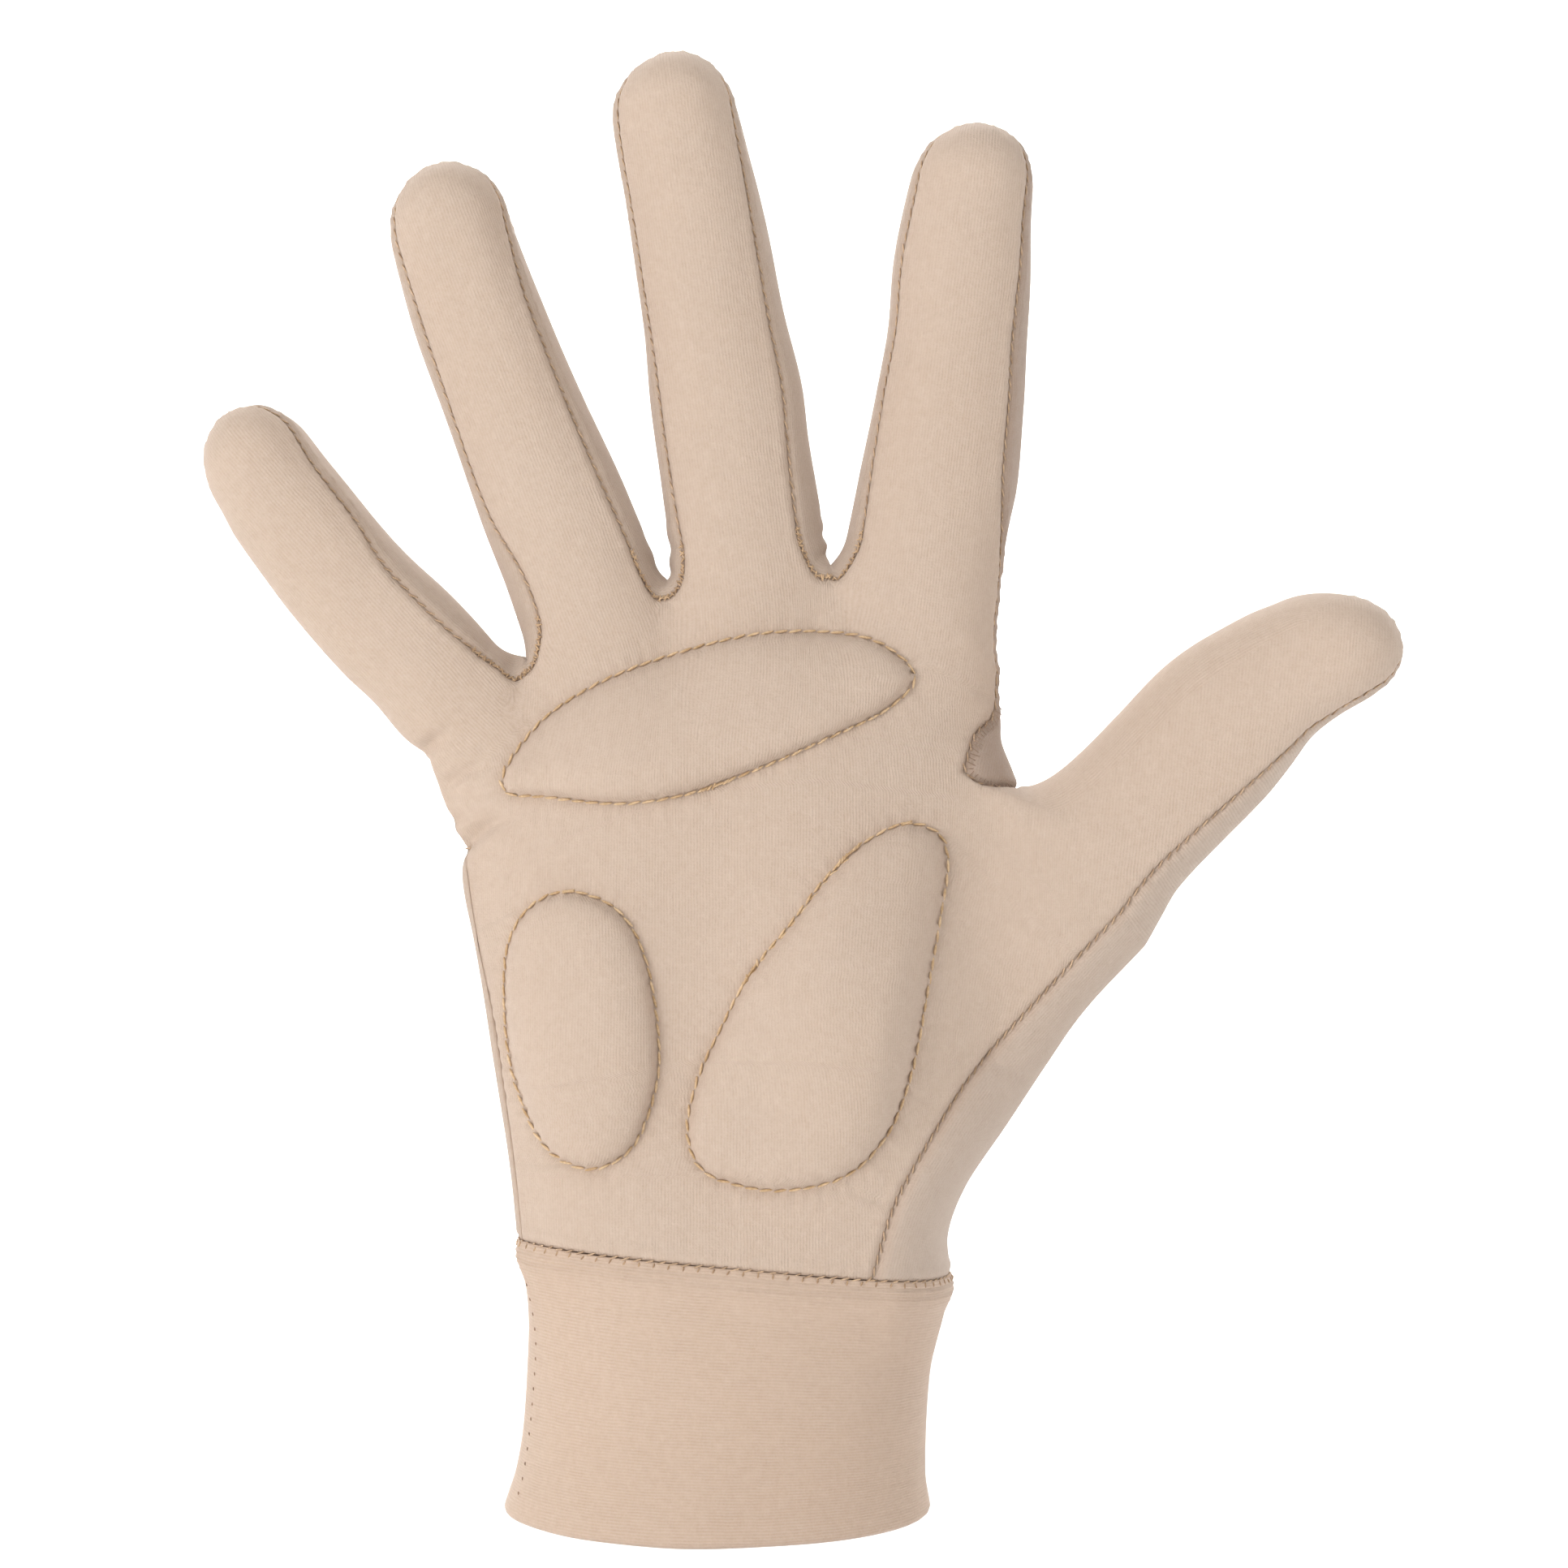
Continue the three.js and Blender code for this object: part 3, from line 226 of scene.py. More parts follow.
PADS = {
    "knuckle_pad": dict(x=-0.024, z=0.804, wide=61.1, tall=25.6, outline=[
        (0.183, 0.495), (-0.063, 0.381), (-0.278, 0.181), (-0.416, -0.048), (-0.5, -0.362),
        (-0.486, -0.435),
        (-0.392, -0.462), (-0.213, -0.5), (-0.053, -0.448), (0.127, -0.295), (0.276, -0.138),
        (0.446, 0.067),
        (0.5, 0.233), (0.408, 0.438)]),
    "heel_pad": dict(x=-0.256, z=0.345, wide=23.4, tall=40.5, outline=[
        (-0.068, 0.5), (-0.302, 0.455), (-0.458, 0.328), (-0.5, 0.096), (-0.432, -0.196),
        (-0.214, -0.434),
        (0.063, -0.5), (0.313, -0.428), (0.474, -0.205), (0.49, -0.027), (0.39, 0.286), (0.229, 0.434)]),
    "thumb_pad": dict(x=0.179, z=0.381, wide=38.2, tall=53.3, outline=[
        (0.35, 0.5), (0.174, 0.447), (0.034, 0.356), (-0.11, 0.225), (-0.264, 0.086), (-0.379, -0.068),
        (-0.468, -0.212), (-0.5, -0.351), (-0.446, -0.445), (-0.292, -0.491), (-0.11, -0.5),
        (0.113, -0.457),
        (0.267, -0.344), (0.36, -0.175), (0.42, 0.042), (0.471, 0.246), (0.5, 0.392), (0.471, 0.466)]),
}
CUFF_SECTIONS = rows_of(
    ("at", "out"), (0.03, 0.9), (0.18, -0.3), (0.5, -0.9), (0.84, -0.4), (0.94, 0.6), (1.0, 0.2),
)
HEM_LIFT = dict(front=0.8, side=2.2)
HEM_SHIFT = -0.7
# The cuff's rows: its wall and hem, the fine ridges under its seam and the scallops that the thread draws.
CUFF_WALL = 2.6
HEM_AT = 0.03
CUFF_RIDGES = dict(height=0.14, pitch=0.8, start=0.6, first=0.9, last=4.8, fade=1.6)
SCALLOPS = dict(height=0.1, pitch=2.2, reach=1.1)
SIDE_SEAM = dict(angle=162, low=0.1, high=0.85)
# Slow waves of worn cloth: radians for each millimetre in x, y and z, and at the start.
CLOTH_WAVES = rows_of(
    ("x", "y", "z", "start"),
    (0.21, 0.05, 0.13, 0.0), (-0.11, 0.22, 0.19, 1.7), (0.31, -0.14, -0.09, 3.1), (0.05, 0.3, -0.27, 0.6),
)
# Where the quilting is doubled, and where its thread was fastened off, in millimetres across and up.
DOUBLE_LINE = dict(centre=(11.3, 0, 92.5), reach=10.5, step=(0.3, 0.0, -0.3))
THREAD_ENDS = [(18.3, 0, 101.6), (4.3, 0, 83.7), (-1.2, 0, 111.4)]
LOOP_PITCH = 0.0004
PATCHES = 0.3
# Factors of the knit's darker colour, reached by its random patches and by the painted shade in the valleys
# between its ribs.
SHADE_FACTORS = (0.9, 0.86, 0.82)
# Painted shade: the darker colour laid along the seams, the pads' quilting and the cuff's seam, where their
# grooves lie in shade.
PAINTED_SEAM_SHADE = (184, 154, 130)
FOAM_COLOUR = (232, 220, 203)
# Light and dark screen colours of the threads; each dark one is painted shade of the gaps in the twisted
# thread.
THREADS = {
    "seam thread": ((204, 174, 142), (162, 132, 104)),
    "overlock thread": ((208, 176, 138), (168, 136, 104)),
    # Dark strokes painted as the shadows of the puckers by the gusset.
    "gusset puckers": ((158, 132, 112), (132, 106, 88)),
    "side seam thread": ((160, 128, 104), (120, 94, 74)),
    "cuff thread": ((190, 158, 124), (150, 120, 92)),
}
# The floor's profile and the lamps, in metres. A lamp's share is of the light in the panel.
FLOOR_PROFILE = [
    (0.001, 0), (1.6, 0), (1.85, 0.03), (2.1, 0.14), (2.28, 0.34), (2.36, 0.6), (2.4, 1.0), (2.4, 2.2),
]
FLOOR_DROP = 0.03
FLOOR_TURNS = 96
LAMPS = rows_of(
    ("name", "spot", "aim", "size", "share"),
    ("key", (-0.7, -0.75, 0.02), (0.01, 0, 0.1), 0.6, 0.66),
    ("floor", (0.0, -0.6, 0.75), (0.0, -0.65, -0.03), 0.5, 0.14),
    ("ground", (0.0, 1.1, 1.3), (0.0, 1.15, -0.03), 1.2, 2.2),
    ("left wall", (-0.9, 0.7, 0.3), (-0.5, 2.4, 0.1), 1.2, 2.2),
    ("right wall", (0.9, 0.7, 0.3), (0.5, 2.4, 0.1), 1.2, 2.2),
)
WORLD_LIGHT = 0.5
EYE_ACROSS = 0.0093
EYE_HEIGHT = 0.1115
SENSOR_WIDTH = 36
ROOTS = {
    "little": dict(left="ulnar", right="little_ring"),
    "ring": dict(left="little_ring", right="ring_middle"),
    "middle": dict(left="ring_middle", right="middle_index"),
    "index": dict(left="middle_index", right="index_side"),
    "thumb": dict(left="index_thumb", right="thumb_outer"),
}


# Helpers on numbers

def smooth(t):
    t = np.clip(t, 0, 1)
    return t * t * (3 - 2 * t)


def mix(a, b, t):
    return a + (b - a) * t


def blend(a, b, t):
    """Between two arrays of points, with one share for each point."""
    return a + (b - a) * np.asarray(t)[..., None]


def squared(value, power):
    return np.sign(value) * np.abs(value) ** (2 / power)


def bell(distance, width):
    return np.exp(-((distance / width) ** 2))


def tree_of(points, keys):
    """A search tree of points, each under its own key."""
    tree = KDTree(len(keys))
    for point, key in zip(points, keys):
        tree.insert(point, int(key))
    tree.balance()
    return tree


def column(rows, at, name):
    """Smooth value of one column of a table at places between its rows."""
    ats = np.array([row["at"] for row in rows], float)
    values = np.array([row[name] for row in rows], float)
    last = len(ats) - 1
    before, after = np.maximum(np.arange(last + 1) - 1, 0), np.minimum(np.arange(last + 1) + 1, last)
    slope = (values[after] - values[before]) / (ats[after] - ats[before])
    place = np.clip(at, ats[0], ats[-1])
    i = np.clip(np.searchsorted(ats, place) - 1, 0, last - 1)
    span = ats[i + 1] - ats[i]
    t = (place - ats[i]) / span
    risen = t * t * (3 - 2 * t)
    start = (t - 2 * t * t + t**3) * slope[i] * span
    end = (t**3 - t * t) * slope[i + 1] * span
    return values[i] * (1 - risen) + values[i + 1] * risen + start + end


def spline(points, count, closed=False):
    """Points at even lengths along a centripetal spline through the given ones."""
    points = np.asarray(points, float)
    if closed:
        padded = np.vstack([points[-1], points, points[:2]])
    else:
        padded = np.vstack([2 * points[0] - points[1], points, 2 * points[-1] - points[-2]])
    t = np.linspace(0, 1, 60, endpoint=False)[:, None]
    parts = []
    for p0, p1, p2, p3 in zip(padded, padded[1:], padded[2:], padded[3:]):
        d0, d1, d2 = (max(np.linalg.norm(b - a), 1e-9) ** 0.5 for a, b in ((p0, p1), (p1, p2), (p2, p3)))
        m1 = ((p1 - p0) / d0 - (p2 - p0) / (d0 + d1) + (p2 - p1) / d1) * d1
        m2 = ((p2 - p1) / d1 - (p3 - p1) / (d1 + d2) + (p3 - p2) / d2) * d1
        parts.append(
            p1 + m1 * t + (3 * (p2 - p1) - 2 * m1 - m2) * t**2 + (2 * (p1 - p2) + m1 + m2) * t**3
        )
    fine = np.vstack(parts + [padded[-2:-1]])
    along = np.concatenate([[0], np.cumsum(np.linalg.norm(np.diff(fine, axis=0), axis=1))])
    places = np.linspace(0, along[-1], count + 1)
    return np.stack([np.interp(places, along, fine[:, k]) for k in range(fine.shape[1])], 1)


class Hand:
    """The worn glove's surface: where each point of its panels lies, from the sizes in the panel."""

    def __init__(self, sizes):
        self.cuff_height = sizes.cuff_height / MM
        self.palm_width = sizes.palm_width / MM
        self.palm_height = sizes.palm_height / MM
        self.palm_depth = sizes.palm_depth / MM
        self.pad_height = sizes.pad_height / MM
        self.pad_edge = sizes.pad_edge / MM
        self.cuff_size = sizes.cuff_width / MM, sizes.cuff_depth / MM
        self.edges = {}
        for name, line in STRIP_EDGES.items():
            rows = {"index_thumb": THUMB_ROOT_ROW, "thumb_outer": THUMB_ROOT_ROW,
                    "index_side": PALM_ROWS - THUMB_ROOT_ROW}.get(name, PALM_ROWS)
            self.edges[name] = spline([self.on_palm(*p) for p in line], rows)
        both = np.vstack([self.edges["index_thumb"], self.edges["index_side"][1:]])
        self.edges["index_side"] = both
        self.sides = {
            "ulnar": spline([self.on_palm(*p) for p in SIDE_OUTLINES["ulnar"]], PALM_ROWS),
            "thumb_outer": spline([self.on_palm(*p) for p in SIDE_OUTLINES["thumb_outer"]], THUMB_ROOT_ROW),
        }
        self.outlines = {}
        for name, pad in PADS.items():
            centre = self.on_palm(pad["x"], pad["z"])
            size = (pad["wide"], pad["tall"])
            points = [[c + s * p for c, s, p in zip(centre, size, point)] for point in pad["outline"]]
            self.outlines[name] = spline(points, OUTLINE_STEPS, closed=True)[1:]

    def on_palm(self, x, z):
        return x * self.palm_width, self.cuff_height + z * self.palm_height

    def seam_height(self, x):
        return self.cuff_height - SEAM_SLANT * (x - CUFF_SHIFT)

    def frame_of(self, finger):
        lean = math.radians(finger["lean"])
        x, z = self.on_palm(finger["rootX"], finger["rootZ"])
        return (
            np.array([x, -finger["forward"], z]),
            np.array([math.sin(lean), 0, math.cos(lean)]),
            np.array([math.cos(lean), 0, -math.sin(lean)]),
        )

    def finger_point(self, finger, at, angle):
        at, angle = np.broadcast_arrays(np.asarray(at, float), np.asarray(angle, float))
        root, along, across = self.frame_of(finger)
        tip = np.maximum(0, (at - 1 + finger["dome"]) / finger["dome"])
        closing = np.sqrt(np.maximum(0, 1 - tip * tip))
        sections = finger["sections"]
        share = np.where(np.cos(angle) > 0, column(sections, at, "right"), column(sections, at, "left"))
        half = share * finger["width"] * closing
        point = root + along * (at * finger["length"])[..., None]
        point = point + across * (half * squared(np.cos(angle), FINGER_SQUARENESS))[..., None]
        deep = finger["depth"] / 2 * closing * squared(np.sin(angle), FINGER_SQUARENESS)
        point[..., 1] -= finger["curl"] * at * at + deep
        return point

    def ring_angle(self, finger, at, quarter, t):
        """Angle of a point in one quarter of a finger's ring, with t from 0 to 1 through it."""
        seams = {}
        for side in ("left", "right"):
            share = np.clip(column(finger["sections"], at, side + "Seam"), 0, 1)
            seams[side] = np.arccos(share ** (FINGER_SQUARENESS / 2))
        right, left = seams["right"], seams["left"]
        return {
            "front": lambda: mix(math.pi - left, right, t),
            "right": lambda: mix(right, -right, t),
            "back": lambda: mix(-right, left - math.pi, t),
            "left": lambda: mix(math.pi + left, math.pi - left, t),
        }[quarter]()

    def palm_surface(self, x, z, face):
        """Depth of the fabric over the palm or the back of the hand, measured from the middle plane."""
        at = (z - self.cuff_height) / self.palm_height
        left = column(PALM_SECTIONS, at, "left") * self.palm_width
        right = column(PALM_SECTIONS, at, "right") * self.palm_width
        place = np.clip((2 * x - left - right) / (right - left), -0.97, 0.97)
        rounded = (1 - np.abs(place) ** PALM_SQUARENESS) ** (1 / PALM_SQUARENESS)
        depth = column(PALM_SECTIONS, at, face) * self.palm_depth * rounded
        if face == "back":
            return depth
        for swelling in SWELLINGS:
            turn = math.radians(swelling["turn"])
            centre = self.on_palm(swelling["x"], swelling["z"])
            dx, dz = x - centre[0], z - centre[1]
            across = (dx * math.cos(turn) - dz * math.sin(turn)) / (swelling["wide"] * self.palm_width)
            along = (dx * math.sin(turn) + dz * math.cos(turn)) / (swelling["tall"] * self.palm_height)
            depth = depth + swelling["height"] * self.palm_depth * np.exp(-(across**2 + along**2))
        return depth

    def fold_depth(self, x, z):
        depth = np.zeros(np.broadcast(x, z).shape)
        for fold in FOLDS:
            start, end = self.on_palm(fold["x"], fold["z"]), self.on_palm(fold["toX"], fold["toZ"])
            dx, dz = end[0] - start[0], end[1] - start[1]
            length = math.hypot(dx, dz)
            along = ((x - start[0]) * dx + (z - start[1]) * dz) / length**2
            off = ((x - start[0]) * -dz + (z - start[1]) * dx) / length
            depth = depth + fold["depth"] * bell(off, fold["width"]) * smooth(1.15 - along)
        return depth

    def on_outlines(self, x, z):
        """Signed distance to the nearest pad outline, positive inside, with its nearest point and place."""
        shape = np.broadcast(x, z).shape
        x, z = np.broadcast_to(x, shape).ravel(), np.broadcast_to(z, shape).ravel()
        best = np.full(x.shape, -1e3)
        near = np.stack([x, z], 1)
        run = np.zeros(x.shape)
        for outline in self.outlines.values():
            low, high = outline.min(0) - 9, outline.max(0) + 9
            picked = np.nonzero((x > low[0]) & (x < high[0]) & (z > low[1]) & (z < high[1]))[0]
            a, b = outline, np.roll(outline, -1, 0)
            edge = b - a
            for part in np.array_split(picked, max(1, len(picked) // 3000)):
                if not len(part):
                    continue
                p = np.stack([x[part], z[part]], 1)[:, None]
                t = np.clip(((p - a) * edge).sum(2) / (edge**2).sum(1), 0, 1)
                spot = a + edge * t[..., None]
                gap = np.hypot(*(p - spot).transpose(2, 0, 1))
                nearest = gap.argmin(1)
                rows = np.arange(len(part))
                crossing = (a[:, 1] > p[..., 1]) != (b[:, 1] > p[..., 1])
                climb = np.where(edge[:, 1] == 0, 1e-9, edge[:, 1])
                over = a[:, 0] + (p[..., 1] - a[:, 1]) / climb * edge[:, 0]
                inside = (crossing & (p[..., 0] < over)).sum(1) % 2 == 1
                distance = np.where(inside, gap[rows, nearest], -gap[rows, nearest])
                better = distance > best[part]
                best[part[better]] = distance[better]
                near[part[better]] = spot[rows, nearest][better]
                run[part[better]] = (nearest + t[rows, nearest])[better] * np.hypot(*edge[0])
        return [values.reshape(shape) for values in (best, near[:, 0], near[:, 1], run)]

    def pocket(self, distance):
        """How far the pad pushes the fabric out at a distance inside its outline."""
        inside = np.clip(distance / self.pad_edge, 0, 1)
        return self.pad_height * np.sqrt(1 - (1 - inside) ** 2)

    def share_along(self, finger, point):
        root, along, _ = self.frame_of(finger)
        return float(np.dot(np.asarray(point) - root, along)) / finger["length"]

    def web_point(self, line, t):
        ridge = WEB_RIDGES[line]
        t = np.asarray(t, float)
        foot = self.edges[line][-1]
        rise = np.sin(math.pi * t)
        if "front" in ridge:
            deep = np.where(t < 0.5, ridge["front"], ridge["back"])
        else:
            faces = [float(self.palm_surface(foot[0], foot[1], face)) for face in ("front", "back")]
            deep = np.where(t < 0.5, faces[0], faces[1])
        top = self.on_palm(ridge["x"], ridge["z"])
        return np.stack(
            [mix(foot[0], top[0], rise), -np.cos(math.pi * t) * deep, mix(foot[1], top[1], rise)], -1
        )

    def root_point(self, name, side, face):
        finger = FINGERS[name]
        line = ROOTS[name][side]
        if line in WEB_RIDGES:
            return self.web_point(line, 0.0 if face == "front" else 1.0)
        x, z = self.edges[line][self.root_row(name)]
        at = self.share_along(finger, (x, 0, z))
        t = 0.0 if (side == "right") == (face == "front") else 1.0
        y = self.finger_point(finger, at, self.ring_angle(finger, at, side, t))[..., 1]
        return np.array([x, float(y), z])

    def root_row(self, name):
        return THUMB_ROOT_ROW if name == "thumb" else PALM_ROWS

    def strand(self, name, quarter, t, row):
        """Points of a finger's ring, pulled to its roots on the palm near the crotches."""
        finger = FINGERS[name]
        t, row = np.asarray(t, float), np.asarray(row, float)
        shares = {
            side: self.share_along(finger, self.root_point(name, side, "front")) for side in ("left", "right")
        }
        ones, zeros = np.ones_like(t), np.zeros_like(t)
        crossing = {"front": t, "back": 1 - t, "right": ones, "left": zeros}[quarter]
        root_share = mix(shares["left"], shares["right"], crossing)
        shoulder = 1 - finger["dome"]
        over = shoulder + finger["dome"] * np.sin((row - FINGER_ROWS) / TIP_ROWS * math.pi / 2)
        at = np.where(row <= FINGER_ROWS, mix(root_share, shoulder, row / FINGER_ROWS), over)
        from_front = {"front": zeros, "right": t, "back": ones, "left": 1 - t}[quarter]
        point = self.finger_point(finger, at, self.ring_angle(finger, at, quarter, t))
        depth = self.fold_depth(point[..., 0], point[..., 2])
        point[..., 0] += depth * np.sin(math.pi * from_front)
        point[..., 1] += depth * (1 - from_front)
        rise = np.minimum(1, (at - root_share) * finger["length"] / WEB_ROUNDING)
        left_over = 1 - np.sin(math.pi / 2 * rise)
        if quarter in ("front", "back"):
            pulls = {"left": (1 - crossing) ** 3, "right": crossing**3}
            for side, end in (("left", 0.0), ("right", 1.0)):
                end_t = end if quarter == "front" else 1 - end
                angle = self.ring_angle(finger, shares[side], quarter, end_t)
                bare = self.finger_point(finger, shares[side], angle)
                pull = self.root_point(name, side, quarter) - bare
                point = point + pull * (pulls[side] * left_over)[..., None]
            return point
        line = ROOTS[name][quarter]

        def bare_at(place):
            angle = self.ring_angle(finger, root_share, quarter, place)
            return self.finger_point(finger, root_share, angle)

        if line in WEB_RIDGES:
            return point + (self.web_point(line, from_front) - bare_at(t)) * left_over[..., None]
        ends = []
        for face in ("front", "back"):
            edge = 0.0 if (quarter == "right") == (face == "front") else 1.0
            ends.append(self.root_point(name, quarter, face) - bare_at(np.full_like(t, edge)))
        return point + blend(ends[0], ends[1], from_front) * left_over[..., None]

    def root_weight(self, name, t, row):
        reach = FINGER_REACH
        if name == "thumb":
            reach = mix(1 / THUMB_ROOT_ROW, THUMB_REACH, smooth(t * 3))
        return smooth((row / self.root_row(name) - 1 + reach) / reach)

    def palm(self, name, face, t, row):
        """Points of a strip of the palm or the back below a finger, with t from its left to its right."""
        left_name, right_name = ROOTS[name]["left"], ROOTS[name]["right"]
        whole = np.asarray(row, int)
        left, right = self.edges[left_name][whole], self.edges[right_name][whole]
        weight = self.root_weight(name, t, row)
        root = self.strand(name, face, t if face == "front" else 1 - t, np.zeros_like(t))
        root_left, root_right = (self.root_point(name, side, face) for side in ("left", "right"))
        span = root_right[0] - root_left[0]
        place = (root[..., 0] - root_left[0]) / span
        share = mix(t, place, weight)
        bow = root[..., 2] - mix(root_left[2], root_right[2], place)
        x = mix(left[..., 0], right[..., 0], share)
        z = mix(left[..., 1], right[..., 1], share) + bow * weight
        z = np.where(row == 0, self.seam_height(x), z)
        pocket = 0
        if face == "front":
            distance, near_x, near_z, _ = self.on_outlines(x, z)
            pulled = (np.abs(distance) < 0.3) & (row > 0) & (row < self.root_row(name))
            inner = (right_name == "index_side") & (row < THUMB_ROOT_ROW)
            pulled &= (t > 0) | (left_name in WEB_RIDGES)
            pulled &= (t < 1) | (right_name in WEB_RIDGES) | inner
            x, z = np.where(pulled, near_x, x), np.where(pulled, near_z, z)
            pocket = self.pocket(np.where(pulled, 0, distance))
        sign = -1 if face == "front" else 1
        y = mix(sign * self.palm_surface(x, z, face), root[..., 1], weight)
        if face == "front":
            y = y + self.fold_depth(x, z) * (1 - weight) - pocket
        return np.stack([x, y, z], -1)

    def side(self, name, side, t, row):
        """Points of a free side of the palm, from its front edge round to its back edge."""
        last = self.root_row(name)
        line = ROOTS[name][side]
        edge = 1.0 if side == "right" else 0.0
        turned = (1 - np.cos(math.pi * t)) / 2
        edges, lasts = np.full_like(t, edge), np.full_like(row, last)
        front, back = (self.palm(name, face, edges, row) for face in ("front", "back"))
        root_front, root_back = (self.palm(name, face, edges, lasts) for face in ("front", "back"))
        ends = blend(root_front, root_back, turned)
        point = blend(front, back, turned)
        root = self.strand(name, side, t if side == "right" else 1 - t, np.zeros_like(t))
        if line == "index_side":
            web = self.web_point("index_thumb", t)
            share = smooth((row - THUMB_ROOT_ROW) / (last - THUMB_ROOT_ROW))
            web_ends = blend(*(self.web_point("index_thumb", end) for end in (0.0, 1.0)), turned)
            fade = (1 - share) ** 2
            return point + (web - web_ends) * fade[..., None] + (root - ends) * share[..., None]
        outline = self.sides[line][np.asarray(row, int)]
        bulge = np.sin(math.pi * t)
        middle = (front + back) / 2
        weight = smooth((row / last - 0.6) / 0.4)
        point[..., 0] += (outline[..., 0] - middle[..., 0]) * bulge * (1 - weight)
        point[..., 2] += (outline[..., 1] - middle[..., 2]) * bulge * (1 - weight)
        point[..., 0] += self.fold_depth(point[..., 0], point[..., 2]) * bulge * (1 - weight)
        point = point + (root - ends) * weight[..., None]
        point[..., 2] = np.where(row == 0, self.seam_height(point[..., 0]), point[..., 2])
        return point


# The whole skin

def steps(rows, count):
    """Step and row of every point of a grid, as two arrays."""
    row, t = np.meshgrid(np.asarray(list(rows), float), np.linspace(0, 1, count + 1), indexing="ij")
    return t, row


def arc_across(points):
    """Length along each row of a grid, from its first point."""
    jumps = np.linalg.norm(np.diff(points, axis=1), axis=2)
    return np.concatenate([np.zeros((len(points), 1)), np.cumsum(jumps, axis=1)], axis=1)


def finger_cloth(hand, name, points):
    """Places on the flat cloth of points on a finger's front or back, with the ribs along the finger."""
    root, along, across = hand.frame_of(FINGERS[name])
    if name == "thumb":
        turn = math.radians(FINGERS[name]["lean"] - 6)
        along, across = (along * math.cos(turn) - across * math.sin(turn),
                         across * math.cos(turn) + along * math.sin(turn))
    middle = points.shape[1] // 2
    arc = arc_across(points)
    arc = arc - arc[:, middle : middle + 1]
    away = points - root
    if name == "thumb":
        return np.stack([root[0] + away @ across, root[2] + away @ along], -1)
    start = (away @ across)[:, middle : middle + 1]
    return np.stack([root[0] + start + arc, root[2] + away @ along], -1)


def skin_grids(hand):
    """Every grid of the glove's skin as (piece, points, places on the flat cloth)."""
    grids = []
    strand_rows = range(0, FINGER_ROWS + TIP_ROWS + 1)
    for face, count in (("front", FRONT_STEPS), ("back", BACK_STEPS)):
        piece = "palm_cloth" if face == "front" else "back_cloth"
        strips, arcs, base = {}, {}, None
        for name in NAMES:
            strips[name] = hand.palm(name, face, *steps(range(0, hand.root_row(name) + 1), count))
            arcs[name] = arc_across(strips[name])
            if base is not None:
                arcs[name] += base[: len(arcs[name]), None]
            base = arcs[name][:, -1]
        shift = strips["middle"][:, 0, 0] - arcs["middle"][:, 0]
        for name in NAMES:
            points = strips[name]
            t, row = steps(range(0, hand.root_row(name) + 1), count)
            cloth = np.stack([arcs[name] + shift[: len(points), None], points[..., 2]], -1)
            bump = smooth(np.minimum(t, 1 - t) * 4)
            if name == "little":
                bump = smooth((1 - t) * 4)
            weight = smooth((row / hand.root_row(name) - 0.75) / 0.25) * bump
            if name != "thumb":
                cloth = cloth + (finger_cloth(hand, name, points) - cloth) * weight[..., None]
            if face == "back":
                points, cloth = points[:, ::-1], cloth[:, ::-1]
            grids.append((piece, points, cloth))
            fingers = hand.strand(name, face, *steps(strand_rows, count))
            flat = fingers if face == "front" else fingers[:, ::-1]
            cloth = finger_cloth(hand, name, flat)
            grids.append((piece, fingers, cloth if face == "front" else cloth[:, ::-1]))

    def strand_part(name, side, rows):
        points = hand.strand(name, side, *steps(rows, SIDE_STEPS))
        root, along, _ = hand.frame_of(FINGERS[name])
        across = arc_across(points)
        return points, np.stack([across, (points - root) @ along], -1)

    def side_piece(piece, name, side):
        grids.append((piece, *strand_part(name, side, list(strand_rows)[:-3])))
        grids.append(("palm_cloth", *strand_part(name, side, list(strand_rows)[-4:])))

    for web in STRIP_WEBS:
        low, high = web.split("_")
        side_piece(web + "_strip", low, "right")
        side_piece(web + "_strip", high, "left")
    side_piece("index_gusset", "index", "right")

    def palm_side(piece, name, side, first, last):
        t, row = steps(range(first, last + 1), SIDE_STEPS)
        points = hand.side(name, side, 1 - t if side == "left" else t, row)
        cloth = np.stack([arc_across(points), points[..., 2]], -1)
        grids.append((piece, points, cloth))

    palm_side("index_gusset", "index", "right", THUMB_ROOT_ROW, PALM_ROWS)
    palm_side("back_cloth", "little", "left", 0, PINCH_ROW)
    palm_side("palm_cloth", "little", "left", PINCH_ROW, PALM_ROWS)
    grids.append(("palm_cloth", *strand_part("little", "left", strand_rows)))
    grids.append(("palm_cloth", *strand_part("thumb", "left", strand_rows)))
    points, cloth = strand_part("thumb", "right", strand_rows)
    grids.append(("back_cloth", points, cloth[..., ::-1]))
    palm_side("back_cloth", "thumb", "right", 0, THUMB_ROOT_ROW)
    return grids


def weld(grids):
    """Joins the grids into one set of points. Returns the points and each grid's indices into them."""
    offsets = np.cumsum([0] + [points.shape[0] * points.shape[1] for _, points, _ in grids])
    everything = np.concatenate([points.reshape(-1, 3) for _, points, _ in grids])
    border = []
    for (_, points, _), start in zip(grids, offsets):
        index = np.arange(points.shape[0] * points.shape[1]).reshape(points.shape[:2]) + start
        border.append(np.concatenate([index[0], index[-1], index[:, 0], index[:, -1]]))
    border = np.unique(np.concatenate(border))
    tree = tree_of(everything[border], border)
    owner = np.arange(len(everything))
    for i in border:
        if owner[i] == i:
            for _, j, _ in tree.find_range(everything[i], WELD_DISTANCE):
                if owner[j] == j:
                    owner[j] = i
    kept, place = np.unique(owner, return_inverse=True)
    indices = [
        place[start : start + points.shape[0] * points.shape[1]].reshape(points.shape[:2])
        for (_, points, _), start in zip(grids, offsets)
    ]
    return everything[kept], indices


